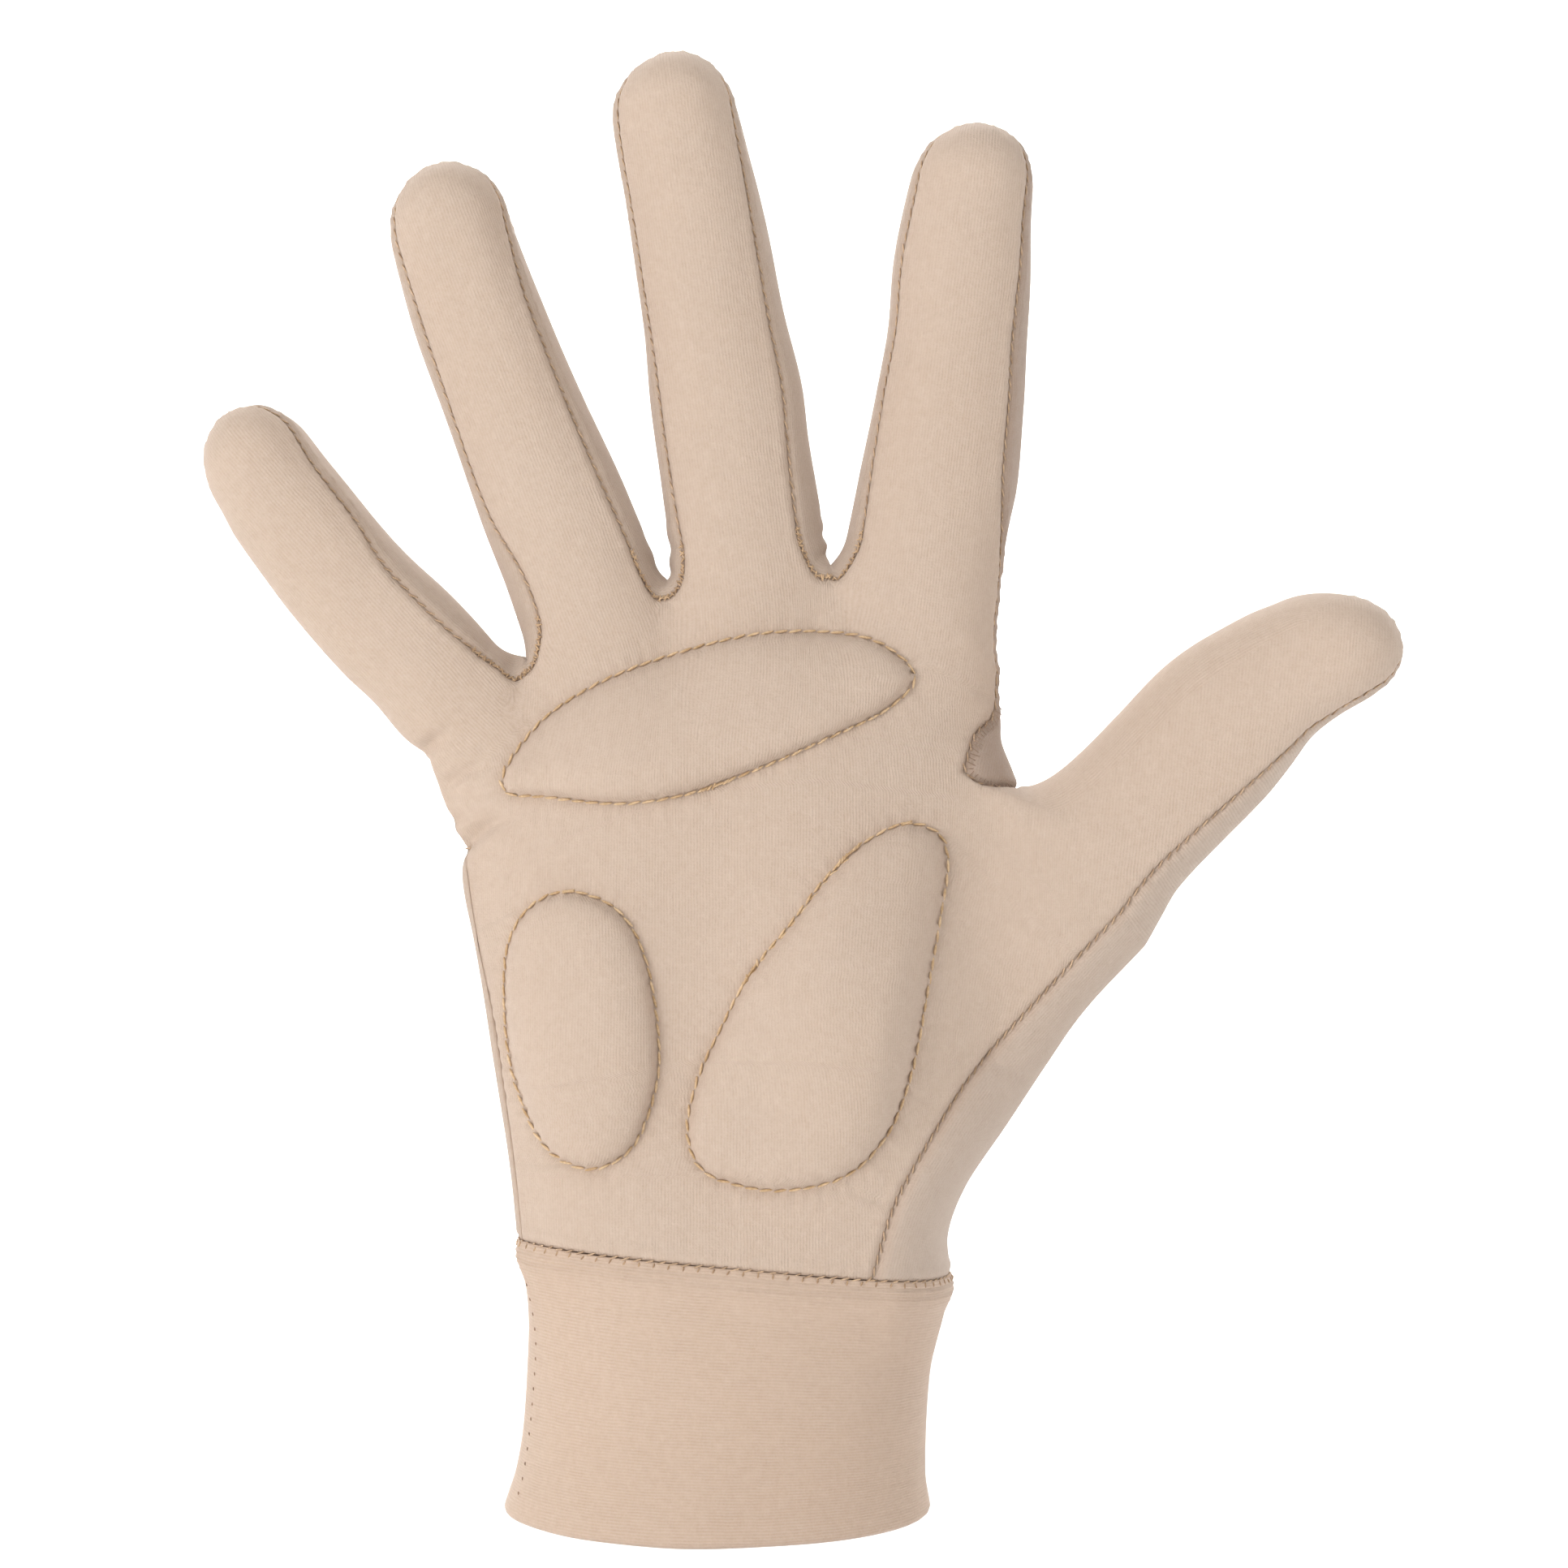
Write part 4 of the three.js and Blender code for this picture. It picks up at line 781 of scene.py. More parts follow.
def faces_of(grids, indices):
    """Faces of each piece as corner indices, with the flat-cloth place of each corner."""
    def corners_of(grid):
        return [grid[:-1, :-1], grid[:-1, 1:], grid[1:, 1:], grid[1:, :-1]]

    pieces = {}
    for (piece, _, cloth), index in zip(grids, indices):
        corners = np.stack(corners_of(index), -1).reshape(-1, 4)
        places = np.stack(corners_of(cloth), 2).reshape(-1, 4, 2)
        faces, uvs = pieces.setdefault(piece, ([], []))
        for face, uv in zip(corners.tolist(), places.tolist()):
            keep = [k for k in range(4) if face[k] not in face[:k]]
            if len(keep) >= 3:
                faces.append([face[k] for k in keep])
                uvs.append([uv[k] for k in keep])
    return pieces


def mesh_normals(points, faces):
    """Outward direction at each point of a closed or open surface."""
    mesh = bpy.data.meshes.new("normals")
    mesh.from_pydata(points.tolist(), [], faces)
    normals = np.empty(len(points) * 3, np.float32)
    mesh.vertex_normals.foreach_get("vector", normals)
    bpy.data.meshes.remove(mesh)
    return normals.reshape(-1, 3).astype(float)


def rim_edges(faces):
    """Edges that only one face has, in that face's direction."""
    edges = set()
    for face in faces:
        edges.update(zip(face, face[1:] + face[:1]))
    return [edge for edge in edges if edge[::-1] not in edges]


def chains(edges):
    """Orders directed edges into runs of points; a closed run repeats its first point at the end."""
    after = {}
    for a, b in edges:
        after.setdefault(a, []).append(b)
    before = {b for _, b in edges}
    runs = []
    for start in sorted(after, key=lambda a: (a in before, a)):
        while after.get(start):
            run = [start]
            while after.get(run[-1]):
                run.append(after[run[-1]].pop(0))
            runs.append(run)
    return runs


class Skin:
    """The welded skin of the glove, with round crotches, sunk seams, creases and puckers."""

    def __init__(self, hand):
        grids = skin_grids(hand)
        self.hand = hand
        self.points, self.indices = weld(grids)
        self.round_crotches()
        self.pieces = faces_of(grids, self.indices)
        self.faces = [face for faces, _ in self.pieces.values() for face in faces]
        self.find_seams()
        self.ease_palm()
        self.normals = mesh_normals(self.points, self.faces)
        self.sink_seams()
        self.normals = mesh_normals(self.points, self.faces)

    def crotch(self, web):
        """Place of a crotch's front point, where the two fingers' seams meet."""
        return self.hand.web_point(web, 0.0)

    def round_crotches(self):
        """Turns the pointed seams at the crotches into round ones and gathers the strips beside them."""
        points = self.points
        for web in WEB_RIDGES:
            foot = self.crotch(web)
            dx, dz = points[:, 0] - foot[0], points[:, 2] - foot[2]
            if web == "index_thumb":
                reach = bell(dx - GUSSET_BEND["x"], 3.2) * bell(dz - GUSSET_BEND["z"], 2.6)
                points[:, 2] -= GUSSET_BEND["drop"] * reach * smooth((-points[:, 1] - 1) / 4)
                continue
            away = np.abs(dx)
            drop = np.maximum(0, away / CROTCH_SLOPE - away**2 / (2 * CROTCH_RADIUS)) * bell(away, 3.4)
            level = dz - away / CROTCH_SLOPE
            reach = bell(level, np.where(level > 0, 3.5, 5.0)) * smooth((np.abs(points[:, 1]) - 1.2) / 4)
            points[:, 2] -= drop * reach
        for gather in GATHERS:
            ridge = self.hand.on_palm(WEB_RIDGES[gather["web"]]["x"], WEB_RIDGES[gather["web"]]["z"])
            dx, dz = points[:, 0] - ridge[0], points[:, 2] - ridge[1]
            lean = math.radians(gather["lean"])
            along = dx * math.sin(lean) + dz * math.cos(lean)
            side = smooth(dx * gather["side"] / 1.5 + 0.5)
            wave = np.cos(2 * math.pi * along / gather["pitch"] + gather["start"])
            near = bell(along - gather["reach"] / 2, gather["reach"] / 1.7)
            height = gather["height"] * wave * near * side
            inner = smooth((6.3 - np.abs(points[:, 1])) / 3) * bell(dx, 7.0)
            points[:, 0] -= gather["side"] * height * inner
        for roll in ROLLS:
            centre = np.array([roll["x"], roll["y"], roll["z"]])
            apart = points - centre
            distance = np.linalg.norm(apart, axis=1)
            near = distance < 3 * roll["size"]
            push = roll["height"] * bell(distance[near], roll["size"])
            points[near] += apart[near] / np.maximum(distance[near], 0.3)[:, None] * push[:, None]

    def find_seams(self):
        """Points of the seams, in order along each run, with the length from the run's start."""
        owners = {}
        edges = set()
        for piece, (faces, _) in self.pieces.items():
            for face in faces:
                for edge in zip(face, face[1:] + face[:1]):
                    owners[edge] = piece
        for (a, b), piece in owners.items():
            other = owners.get((b, a))
            if other is None or (other != piece and (b, a) not in edges):
                edges.add((a, b))
        self.seams = chains(sorted(edges))
        self.seam_place = {}
        for run in self.seams:
            gaps = np.linalg.norm(np.diff(self.points[run], axis=0), axis=1)
            for i, length in zip(run, np.concatenate([[0], np.cumsum(gaps)])):
                self.seam_place.setdefault(i, float(length))

    def nearest_seams(self):
        """Distance of each point from the nearest seam, and how far along its run the seam's point lies."""
        seam_points = sorted(self.seam_place)
        tree = tree_of(self.points[seam_points], range(len(seam_points)))
        found = [tree.find(point) for point in self.points]
        gap = np.array([distance for _, _, distance in found])
        return gap, np.array([self.seam_place[seam_points[k]] for _, k, _ in found])

    def ease_palm(self):
        """Spans the cloth over the valleys between the fingers' roots, as it spans them when worn."""
        hand, points = self.hand, self.points
        gap, _ = self.nearest_seams()
        free = self.marked(self.front_indices() + self.back_indices()) * smooth((gap - 0.6) / EASE_MARGIN)
        free *= smooth(1 - hand.fold_depth(points[:, 0], points[:, 2]) / 0.3)
        front = points[:, 1] < 0
        distance = hand.on_outlines(points[:, 0], points[:, 2])[0]
        pocket = hand.pocket(distance) * (front & (free > 0))
        y = points[:, 1] + pocket
        pairs = {tuple(sorted(edge)) for face in self.faces for edge in zip(face, face[1:] + face[:1])}
        a, b = np.array(sorted(pairs)).T
        count = np.bincount(a, minlength=len(y)) + np.bincount(b, minlength=len(y))
        for _ in range(EASE_ROUNDS):
            around = np.bincount(a, y[b], len(y)) + np.bincount(b, y[a], len(y))
            y = y + (around / np.maximum(count, 1) - y) * 0.6 * free
        points[:, 1] = y - pocket

    def marked(self, grids):
        """True for each point of the skin that lies in the given grids."""
        marks = np.zeros(len(self.points), bool)
        for index in grids:
            marks[index.ravel()] = True
        return marks

    def sink_seams(self):
        """Lowers the cloth at its seams, quilting and creases, with puckers beside them."""
        points, normals = self.points, self.normals
        gap, run = self.nearest_seams()
        turns = 2 * math.pi * run
        pucker = 1 + 0.45 * np.sin(turns / STITCH_PITCH) + 0.3 * np.sin(turns / 5.3 + 1)
        depth = SEAM_DIP["depth"] * bell(gap, SEAM_DIP["width"])
        depth -= SEAM_ROLL["height"] * bell(gap - SEAM_ROLL["at"], SEAM_ROLL["width"]) * pucker
        depth += self.crease_depth()
        front = self.marked(self.front_indices())
        distance, _, _, along = self.hand.on_outlines(points[front, 0], points[front, 2])
        stitch, outline, inside = (np.full(len(points), far) for far in (99.0, 0.0, -99.0))
        stitch[front], outline[front], inside[front] = np.abs(distance), along, distance
        turns = 2 * math.pi * outline
        pits = QUILT_DIP["depth"] + QUILT_DIP["pits"] * np.cos(turns / STITCH_PITCH)
        depth += pits * bell(stitch, QUILT_DIP["width"])
        ripples = np.sin(turns / STITCH_PITCH) + 0.7 * np.sin(turns / 4.7 + 2)
        for band, off, there in (
            (RIPPLES_OUTSIDE, inside + RIPPLES_OUTSIDE["at"], inside < 0),
            (RIPPLES_INSIDE, inside - RIPPLES_INSIDE["at"], inside > 0),
        ):
            depth -= band["height"] * ripples * bell(off, band["width"]) * there
        self.points = points - normals * (depth + self.unevenness(points))[:, None]
        self.gap, self.stitch = gap, stitch

    def crease_depth(self):
        """Depth of the sharp creases, with the cloth standing up a little beside them."""
        points = self.points
        depth = np.zeros(len(points))
        for crease in CREASES:
            line = spline([self.hand.on_palm(*p) for p in crease["line"]], 40)
            tree = tree_of([(x, 0, z) for x, z in line], range(len(line)))
            middle = line.mean(0)
            beside = (np.abs(points[:, 0] - middle[0]) < 16) & (np.abs(points[:, 2] - middle[1]) < 14)
            for i in np.nonzero(beside & (points[:, 1] < 4))[0]:
                _, k, gap = tree.find((points[i, 0], 0, points[i, 2]))
                fade = smooth(1.25 * (1 - k / 40)) * mix(0.12, 1, smooth(-self.normals[i, 1] / 0.7))
                width = crease["width"]
                valley = bell(gap, width) - 0.45 * bell(gap - 2.2 * width, 1.3 * width)
                depth[i] += crease["depth"] * fade * valley
        return depth

    def front_indices(self):
        """Grids of the palm's front strips, which come first in each pair of the list."""
        return [self.indices[2 * k] for k in range(len(NAMES))]

    def back_indices(self):
        """Grids of the back's strips, which follow the palm's and its fingers'."""
        return [self.indices[2 * (len(NAMES) + k)] for k in range(len(NAMES))]

    @staticmethod
    def unevenness(points):
        """Slow rise and fall of worn cloth, up to about a quarter of a millimetre."""
        height = np.zeros(len(points))
        for wave in CLOTH_WAVES:
            along = wave["x"] * points[:, 0] + wave["y"] * points[:, 1] + wave["z"] * points[:, 2]
            height += 0.045 * np.sin(along + wave["start"])
        return height


def rim_steps(points, normals, faces, size):
    """Steps back from a sheet's rim, square to it and along the sheet."""
    steps_back = np.zeros_like(points)
    for a, b in rim_edges(faces):
        along = points[b] - points[a]
        length = np.linalg.norm(along)
        if length > 1e-9:
            for i in (a, b):
                steps_back[i] += np.cross(normals[i], along / length)
    length = np.linalg.norm(steps_back, axis=1)
    moved = length > 1e-6
    steps_back[moved] *= (size / length[moved])[:, None]
    return steps_back


def closed_sheet(outer, inner, faces, uvs):
    """Points, faces and corner places of a sheet with a wall, closed round its rim."""
    used = sorted({i for face in faces for i in face})
    place = {i: k for k, i in enumerate(used)}
    shift = len(used)
    points = np.concatenate([outer[used], inner[used]])
    top = [[place[i] for i in face] for face in faces]
    bottom = [[i + shift for i in reversed(face)] for face in top]
    corner = {}
    for face, uv in zip(top, uvs):
        corner.update(zip(face, uv))
    walls = [[b, a, a + shift, b + shift] for a, b in rim_edges(top)]
    wall_uvs = [[corner[b], corner[a], corner[a], corner[b]] for b, a, _, _ in walls]
    all_uvs = [*uvs, *[list(reversed(uv)) for uv in uvs], *wall_uvs]
    return points, [*top, *bottom, *walls], all_uvs, used


def add_mesh(name, points, faces, uvs, marks=None):
    """A mesh object from points in millimetres. marks are named values, one for each point."""
    mesh = bpy.data.meshes.new(name)
    mesh.from_pydata((np.asarray(points) * MM).tolist(), [], faces)
    layer = mesh.uv_layers.new(name="cloth")
    layer.data.foreach_set("uv", np.concatenate([np.ravel(uv) for uv in uvs]) * MM)
    for key, values in (marks or {}).items():
        mark = mesh.attributes.new(key, "FLOAT", "POINT")
        mark.data.foreach_set("value", np.asarray(values, np.float32))
    mesh.validate()
    mesh.shade_smooth()
    thing = bpy.data.objects.new(name, mesh)
    bpy.context.scene.collection.objects.link(thing)
    return thing


def finish_piece(thing, node, material):
    thing.data.materials.append(material)
    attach(thing, "root")
    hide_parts(node)


# Materials

class Wiring:
    """Adds nodes to a tree and joins them."""

    def __init__(self, tree):
        self.tree = tree
        self.placed = 0

    def add(self, kind, values=None, **settings):
        node = self.tree.nodes.new(kind)
        node.location = (180 * (self.placed % 9), -220 * (self.placed // 9))
        self.placed += 1
        for name, value in settings.items():
            setattr(node, name, value)
        self.fill(node.inputs, values or {})
        return node

    def fill(self, sockets, values):
        for key, value in values.items():
            self.put(sockets[key], value)

    def put(self, socket, value):
        if isinstance(value, bpy.types.NodeSocket):
            self.tree.links.new(value, socket)
        else:
            socket.default_value = value

    def math(self, operation, a, b=None):
        values = {k: v for k, v in enumerate((a, b)) if v is not None}
        return self.add("ShaderNodeMath", values, operation=operation).outputs[0]

    def sum(self, first, *others):
        for other in others:
            first = self.math("ADD", first, other)
        return first

    def product(self, a, b):
        return self.math("MULTIPLY", a, b)

    def centred(self, value):
        return self.math("SUBTRACT", value, 0.5)

    def bump(self, height, strength, distance):
        values = {"Height": height, "Strength": strength, "Distance": distance}
        return self.add("ShaderNodeBump", values).outputs["Normal"]

    def noise(self, place, scale, detail=2.0, **values):
        values = {"Vector": place, "Scale": scale, "Detail": detail, **values}
        return self.add("ShaderNodeTexNoise", values).outputs["Fac"]

    def mix_colour(self, factor, a, b, kind="MIX"):
        node = self.add("ShaderNodeMix", data_type="RGBA", blend_type=kind)
        sockets = {socket.identifier: socket for socket in (*node.inputs, *node.outputs)}
        self.put(sockets["Factor_Float"], factor)
        self.put(sockets["A_Color"], a)
        self.put(sockets["B_Color"], b)
        return sockets["Result_Color"]


def new_group(name, kind, inputs, outputs):
    """An empty node group with named sockets, given as (name, type, default)."""
    tree = bpy.data.node_groups.new(name, kind)
    for socket_name, socket_type, default in inputs:
        socket = tree.interface.new_socket(socket_name, in_out="INPUT", socket_type=socket_type)
        if default is not None:
            socket.default_value = default
    for socket_name, socket_type in outputs:
        tree.interface.new_socket(socket_name, in_out="OUTPUT", socket_type=socket_type)
    return tree


def linear(colour):
    """A screen colour, given as 0 to 255, as linear light."""
    parts = [c / 255 for c in colour]
    return [c / 12.92 if c <= 0.04045 else ((c + 0.055) / 1.055) ** 2.4 for c in parts] + [1.0]


def knit_group():
    """Fine ribs of a stretch knit with loops across them, yarn specks and slow patches of colour, with painted
    shade in the valleys between the ribs and along the seams.
    """
    tree = new_group(
        "Stretch knit", "ShaderNodeTree",
        [
            ("Colour", "NodeSocketColor", None), ("Shade", "NodeSocketColor", None),
            ("Crease Colour", "NodeSocketColor", None), ("Rib Pitch", "NodeSocketFloat", 0.00045),
            ("Loop Pitch", "NodeSocketFloat", 0.0004), ("Rib Strength", "NodeSocketFloat", 0.5),
            ("Patches", "NodeSocketFloat", 0.3),
        ],
        [("Colour", "NodeSocketColor"), ("Height", "NodeSocketFloat"), ("Roughness", "NodeSocketFloat")],
    )
    wire = Wiring(tree)
    given = wire.add("NodeGroupInput").outputs
    place = wire.add("ShaderNodeUVMap", uv_map="cloth").outputs["UV"]
    solid = wire.add("ShaderNodeTexCoord").outputs["Object"]
    parts = wire.add("ShaderNodeSeparateXYZ", {"Vector": place}).outputs
    drift = wire.product(wire.centred(wire.noise(solid, 260.0)), 0.00035)
    across = wire.math("DIVIDE", wire.sum(parts["X"], drift), given["Rib Pitch"])
    along = wire.math("DIVIDE", parts["Y"], given["Loop Pitch"])
    rib = wire.math("SINE", wire.product(across, 2 * math.pi))
    lean = wire.math("ABSOLUTE", wire.math("SINE", wire.product(across, math.pi)))
    loop = wire.math("SINE", wire.product(wire.sum(along, wire.product(lean, 0.35)), 2 * math.pi))
    fibre = wire.centred(wire.noise(solid, 2600.0))
    strength = wire.product(given["Rib Strength"], wire.product(wire.noise(solid, 420.0), 1.1))
    height = wire.sum(wire.product(rib, strength), wire.product(loop, 0.05), wire.product(fibre, 1.6))
    patch = wire.noise(solid, 34.0, 3.0, Roughness=0.55)
    slow = wire.product(wire.centred(patch), given["Patches"])
    dots = wire.product(wire.centred(wire.noise(solid, 900.0)), 0.5)
    # Painted shade: the valleys between the ribs are made darker, on top of the random patches and specks in
    # the yarn's tone.
    darker = wire.math("SUBTRACT", wire.sum(slow, dots, 0.4), wire.product(height, 0.34))
    shade = wire.add("ShaderNodeClamp", {"Value": darker}).outputs[0]
    cloth = wire.mix_colour(shade, given["Colour"], given["Shade"])
    # Painted shade along the seams and the quilting: the panel's mask mixes the knit towards the painted seam
    # shade colour.
    crease = wire.add("ShaderNodeAttribute", attribute_name="crease").outputs["Fac"]
    wire.fill(wire.add("NodeGroupOutput").inputs, {
        "Colour": wire.mix_colour(crease, cloth, given["Crease Colour"]),
        "Height": height,
        "Roughness": wire.sum(0.86, wire.product(fibre, 0.3)),
    })
    return tree


def new_material(name):
    """A material, its wiring and the sockets of its shader."""
    material = bpy.data.materials.new(name)
    material.use_nodes = True
    return material, Wiring(material.node_tree), material.node_tree.nodes["Principled BSDF"].inputs


def knit(name, shift=(0, 0, 0), rib_strength=0.5):
    """A soft knit in the glove's colour, moved by a few screen steps in red, green and blue; the steps that
    darken the back, the side strips and the gusset are painted shade.
    """
    finish = bpy.context.scene.glove_finish
    base = [c + d for c, d in zip(finish.fabric, shift)]
    material, wire, shader = new_material(name)
    group = bpy.data.node_groups.get("Stretch knit") or knit_group()
    made = wire.add("ShaderNodeGroup", node_tree=group)
    wire.fill(made.inputs, {
        "Colour": linear(base), "Shade": linear([c * f for c, f in zip(base, SHADE_FACTORS)]),
        "Crease Colour": linear(PAINTED_SEAM_SHADE), "Rib Pitch": finish.rib_pitch, "Loop Pitch": LOOP_PITCH,
        "Rib Strength": rib_strength, "Patches": PATCHES,
    })
    wire.fill(shader, {
        "Base Color": made.outputs["Colour"], "Roughness": made.outputs["Roughness"],
        "Normal": wire.bump(made.outputs["Height"], 0.5, 0.00012), "Specular IOR Level": 0.25,
        "Sheen Weight": 0.12, "Sheen Roughness": 0.5,
    })
    return material


def thread_material(name, light, dark):
    """Twisted sewing thread: light plies, with patches of a darker colour laid by noise as painted shade of the
    gaps between them.
    """
    material, wire, shader = new_material(name)
    place = wire.add("ShaderNodeTexCoord").outputs["Object"]
    grain = wire.noise(place, 2200.0)
    both = wire.sum(wire.product(grain, 0.5), wire.product(wire.noise(place, 420.0, 1.0), 0.5))
    share = wire.add("ShaderNodeMapRange", {"Value": both, "From Min": 0.38, "From Max": 0.62}).outputs[0]
    wire.fill(shader, {
        "Base Color": wire.mix_colour(share, linear(dark), linear(light)),
        "Normal": wire.bump(grain, 0.6, 0.0001), "Roughness": 0.6, "Sheen Weight": 0.1,
    })
    return material


def foam_material(name, colour):
    """Closed-cell foam with fine pores."""
    material, wire, shader = new_material(name)
    place = wire.add("ShaderNodeTexCoord").outputs["Object"]
    pores = wire.add("ShaderNodeTexVoronoi", {"Vector": place, "Scale": 1400.0}).outputs["Distance"]
    dark = linear([c * 0.82 for c in colour])
    wire.fill(shader, {
        "Base Color": wire.mix_colour(pores, dark, linear(colour)),
        "Normal": wire.bump(pores, 0.4, 0.0002), "Roughness": 0.95,
    })
    return material


# Stitches

def stitch_tree():
    """Geometry nodes that sew thread stitches along runs of points, each lying on the cloth."""
    tree = new_group(
        "Stitch run", "GeometryNodeTree",
        [
            ("Geometry", "NodeSocketGeometry", None), ("Pitch", "NodeSocketFloat", 0.002),
            ("Length", "NodeSocketFloat", 0.002), ("Thickness", "NodeSocketFloat", 0.0002),
            ("Turn", "NodeSocketFloat", 0.2), ("Unevenness", "NodeSocketFloat", 0.1),
            ("Seed", "NodeSocketInt", 3), ("Material", "NodeSocketMaterial", None),
        ],
        [("Geometry", "NodeSocketGeometry")],
    )
    wire = Wiring(tree)
    given = wire.add("NodeGroupInput").outputs
    curve = wire.add("GeometryNodeMeshToCurve", {"Mesh": given["Geometry"]}).outputs[0]
    spacing = {"Curve": curve, "Length": given["Pitch"]}
    even = wire.add("GeometryNodeResampleCurve", spacing, mode="LENGTH").outputs[0]
    tangent = wire.add("GeometryNodeInputTangent").outputs[0]
    out = wire.add("GeometryNodeInputNamedAttribute", {"Name": "out"}, data_type="FLOAT_VECTOR")
    axes = {0: out.outputs["Attribute"], 1: tangent}
    facing = wire.add("FunctionNodeAxesToRotation", axes, primary_axis="Z", secondary_axis="X")
    low, high = (
        wire.add("ShaderNodeCombineXYZ", {axis: end for axis in "XYZ"}).outputs[0]
        for end in (wire.product(given["Unevenness"], -1.0), given["Unevenness"])
    )
    limits = {"Min": low, "Max": high, "Seed": given["Seed"]}
    wobble = wire.add("FunctionNodeRandomValue", limits, data_type="FLOAT_VECTOR")
    turn = wire.add("ShaderNodeCombineXYZ", {"Z": given["Turn"]}).outputs[0]
    angles = wire.add("ShaderNodeVectorMath", {0: turn, 1: wobble.outputs[0]}, operation="ADD").outputs[0]
    local = wire.add("FunctionNodeEulerToRotation", {0: angles}).outputs[0]
    turns = {"Rotation": facing.outputs[0], "Rotate By": local}
    rotation = wire.add("FunctionNodeRotateRotation", turns, rotation_space="LOCAL").outputs[0]
    ball = wire.add("GeometryNodeMeshUVSphere", {"Segments": 7, "Rings": 6, "Radius": 0.5}).outputs[0]
    thick = given["Thickness"]
    size = wire.add("ShaderNodeCombineXYZ", {"X": given["Length"], "Y": thick, "Z": thick})
    bead = wire.add("GeometryNodeTransform", {"Geometry": ball, "Scale": size.outputs[0]}).outputs[0]
    beads = {"Points": even, "Instance": bead, "Rotation": rotation}
    sewn = wire.add("GeometryNodeInstanceOnPoints", beads).outputs[0]
    real = wire.add("GeometryNodeRealizeInstances", {0: sewn}).outputs[0]
    round_faces = wire.add("GeometryNodeSetShadeSmooth", {"Geometry": real}).outputs[0]
    paint = {"Geometry": round_faces, "Material": given["Material"]}
    painted = wire.add("GeometryNodeSetMaterial", paint).outputs[0]
    wire.put(wire.add("NodeGroupOutput").inputs[0], painted)
    return tree


def sew(name, runs, material, **values):
    """Stitches along runs of (points, outward directions), in millimetres, as one plain mesh."""
    points, outs, edges = [], [], []
    for places, directions in runs:
        start = len(points)
        points.extend(places.tolist())
        outs.extend(directions.tolist())
        edges.extend((start + k, start + k + 1) for k in range(len(places) - 1))
    mesh = bpy.data.meshes.new(name + "_path")
    mesh.from_pydata((np.array(points) * MM).tolist(), edges, [])
    mark = mesh.attributes.new("out", "FLOAT_VECTOR", "POINT")
    mark.data.foreach_set("vector", np.ravel(outs).astype(np.float32))
    path = bpy.data.objects.new(name + "_path", mesh)
    bpy.context.scene.collection.objects.link(path)
    sewing = path.modifiers.new("stitches", "NODES")
    sewing.node_group = bpy.data.node_groups.get("Stitch run") or stitch_tree()
    items = sewing.node_group.interface.items_tree
    sockets = {item.name: item.identifier for item in items if item.in_out == "INPUT"}
    for key, value in {**values, "Material": material}.items():
        sewing[sockets[key]] = value
    path.update_tag()
    shown = path.evaluated_get(bpy.context.evaluated_depsgraph_get())
    made = bpy.data.meshes.new_from_object(shown)
    made.name = name
    bpy.data.objects.remove(path)
    thing = bpy.data.objects.new(name, made)
    bpy.context.scene.collection.objects.link(thing)
    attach(thing, "root")
    return thing


# Sizes and colours that a user would change

def length(name, description, default):
    return bpy.props.FloatProperty(name=name, description=description, default=default, unit="LENGTH")


def colour(name, description, default):
    return bpy.props.FloatVectorProperty(name=name, description=description, default=default, size=3)


class GloveSizes(bpy.types.PropertyGroup):
    cuff_height: length("Cuff height", "From the hem to the cuff's seam", 0.041)
    cuff_width: length("Cuff width", "Across the cuff, little finger's side to thumb's side", 0.062)
    cuff_depth: length("Cuff depth", "Through the cuff, palm to back", 0.045)
    palm_width: length("Palm width", "Across the palm under the fingers", 0.08)
    palm_height: length("Palm height", "From the cuff's seam to the middle finger", 0.1)
    palm_depth: length("Palm depth", "Thickness of the hand in the glove", 0.03)
    fabric_wall: length("Fabric wall", "Thickness of the knit", 0.0013)
    pad_height: length("Pad height", "How far a pad stands out of the palm", 0.0036)
    pad_edge: length("Pad edge", "Width of a pad's rounded edge", 0.007)


class GloveSewing(bpy.types.PropertyGroup):
    pitch: length("Stitch pitch", "From one stitch to the next", 0.0021)
    thread: length("Thread", "Thickness of the thread", 0.00042)


class GloveFinish(bpy.types.PropertyGroup):
    fabric: colour("Fabric", "Screen colour of the knit", (203, 184, 168))
    thread: colour("Thread", "Screen colour of the quilting's thread", (219, 190, 152))
    rib_pitch: length("Rib pitch", "Width of one rib of the knit", 0.00046)


class GloveStage(bpy.types.PropertyGroup):
    camera_distance: length("Camera distance", "From the camera to the glove", 0.6)
    picture_width: length("Picture width", "Width of the view at the glove", 0.2357)
    light: bpy.props.FloatProperty(
        name="Light", description="Power that each lamp gives its share of", default=10.4, unit="POWER")


worn = {}


def worn_skin():
    """The glove's skin, worked out once from the sizes in the panel."""
    if "skin" not in worn:
        worn["skin"] = Skin(Hand(bpy.context.scene.glove_sizes))
    return worn["skin"]


def add_panel(piece, node, material):
    """One panel of the glove's skin, with its wall."""
    skin = worn_skin()
    wall = bpy.context.scene.glove_sizes.fabric_wall / MM
    faces, uvs = skin.pieces[piece]
    outer = skin.points + rim_steps(skin.points, skin.normals, faces, RIM_STEP)
    inner = outer - skin.normals * wall
    points, faces, uvs, used = closed_sheet(outer, inner, faces, uvs)
    # Mask of painted shade along the seams and the pads' quilting, carried to the knit as a point value.
    crease = 0.3 * bell(skin.gap[used], 0.35) + 0.22 * bell(skin.stitch[used], 0.4)
    thing = add_mesh(piece, points, faces, uvs, {"crease": np.tile(np.clip(crease, 0, 1), 2)})
    finish_piece(thing, node, material)


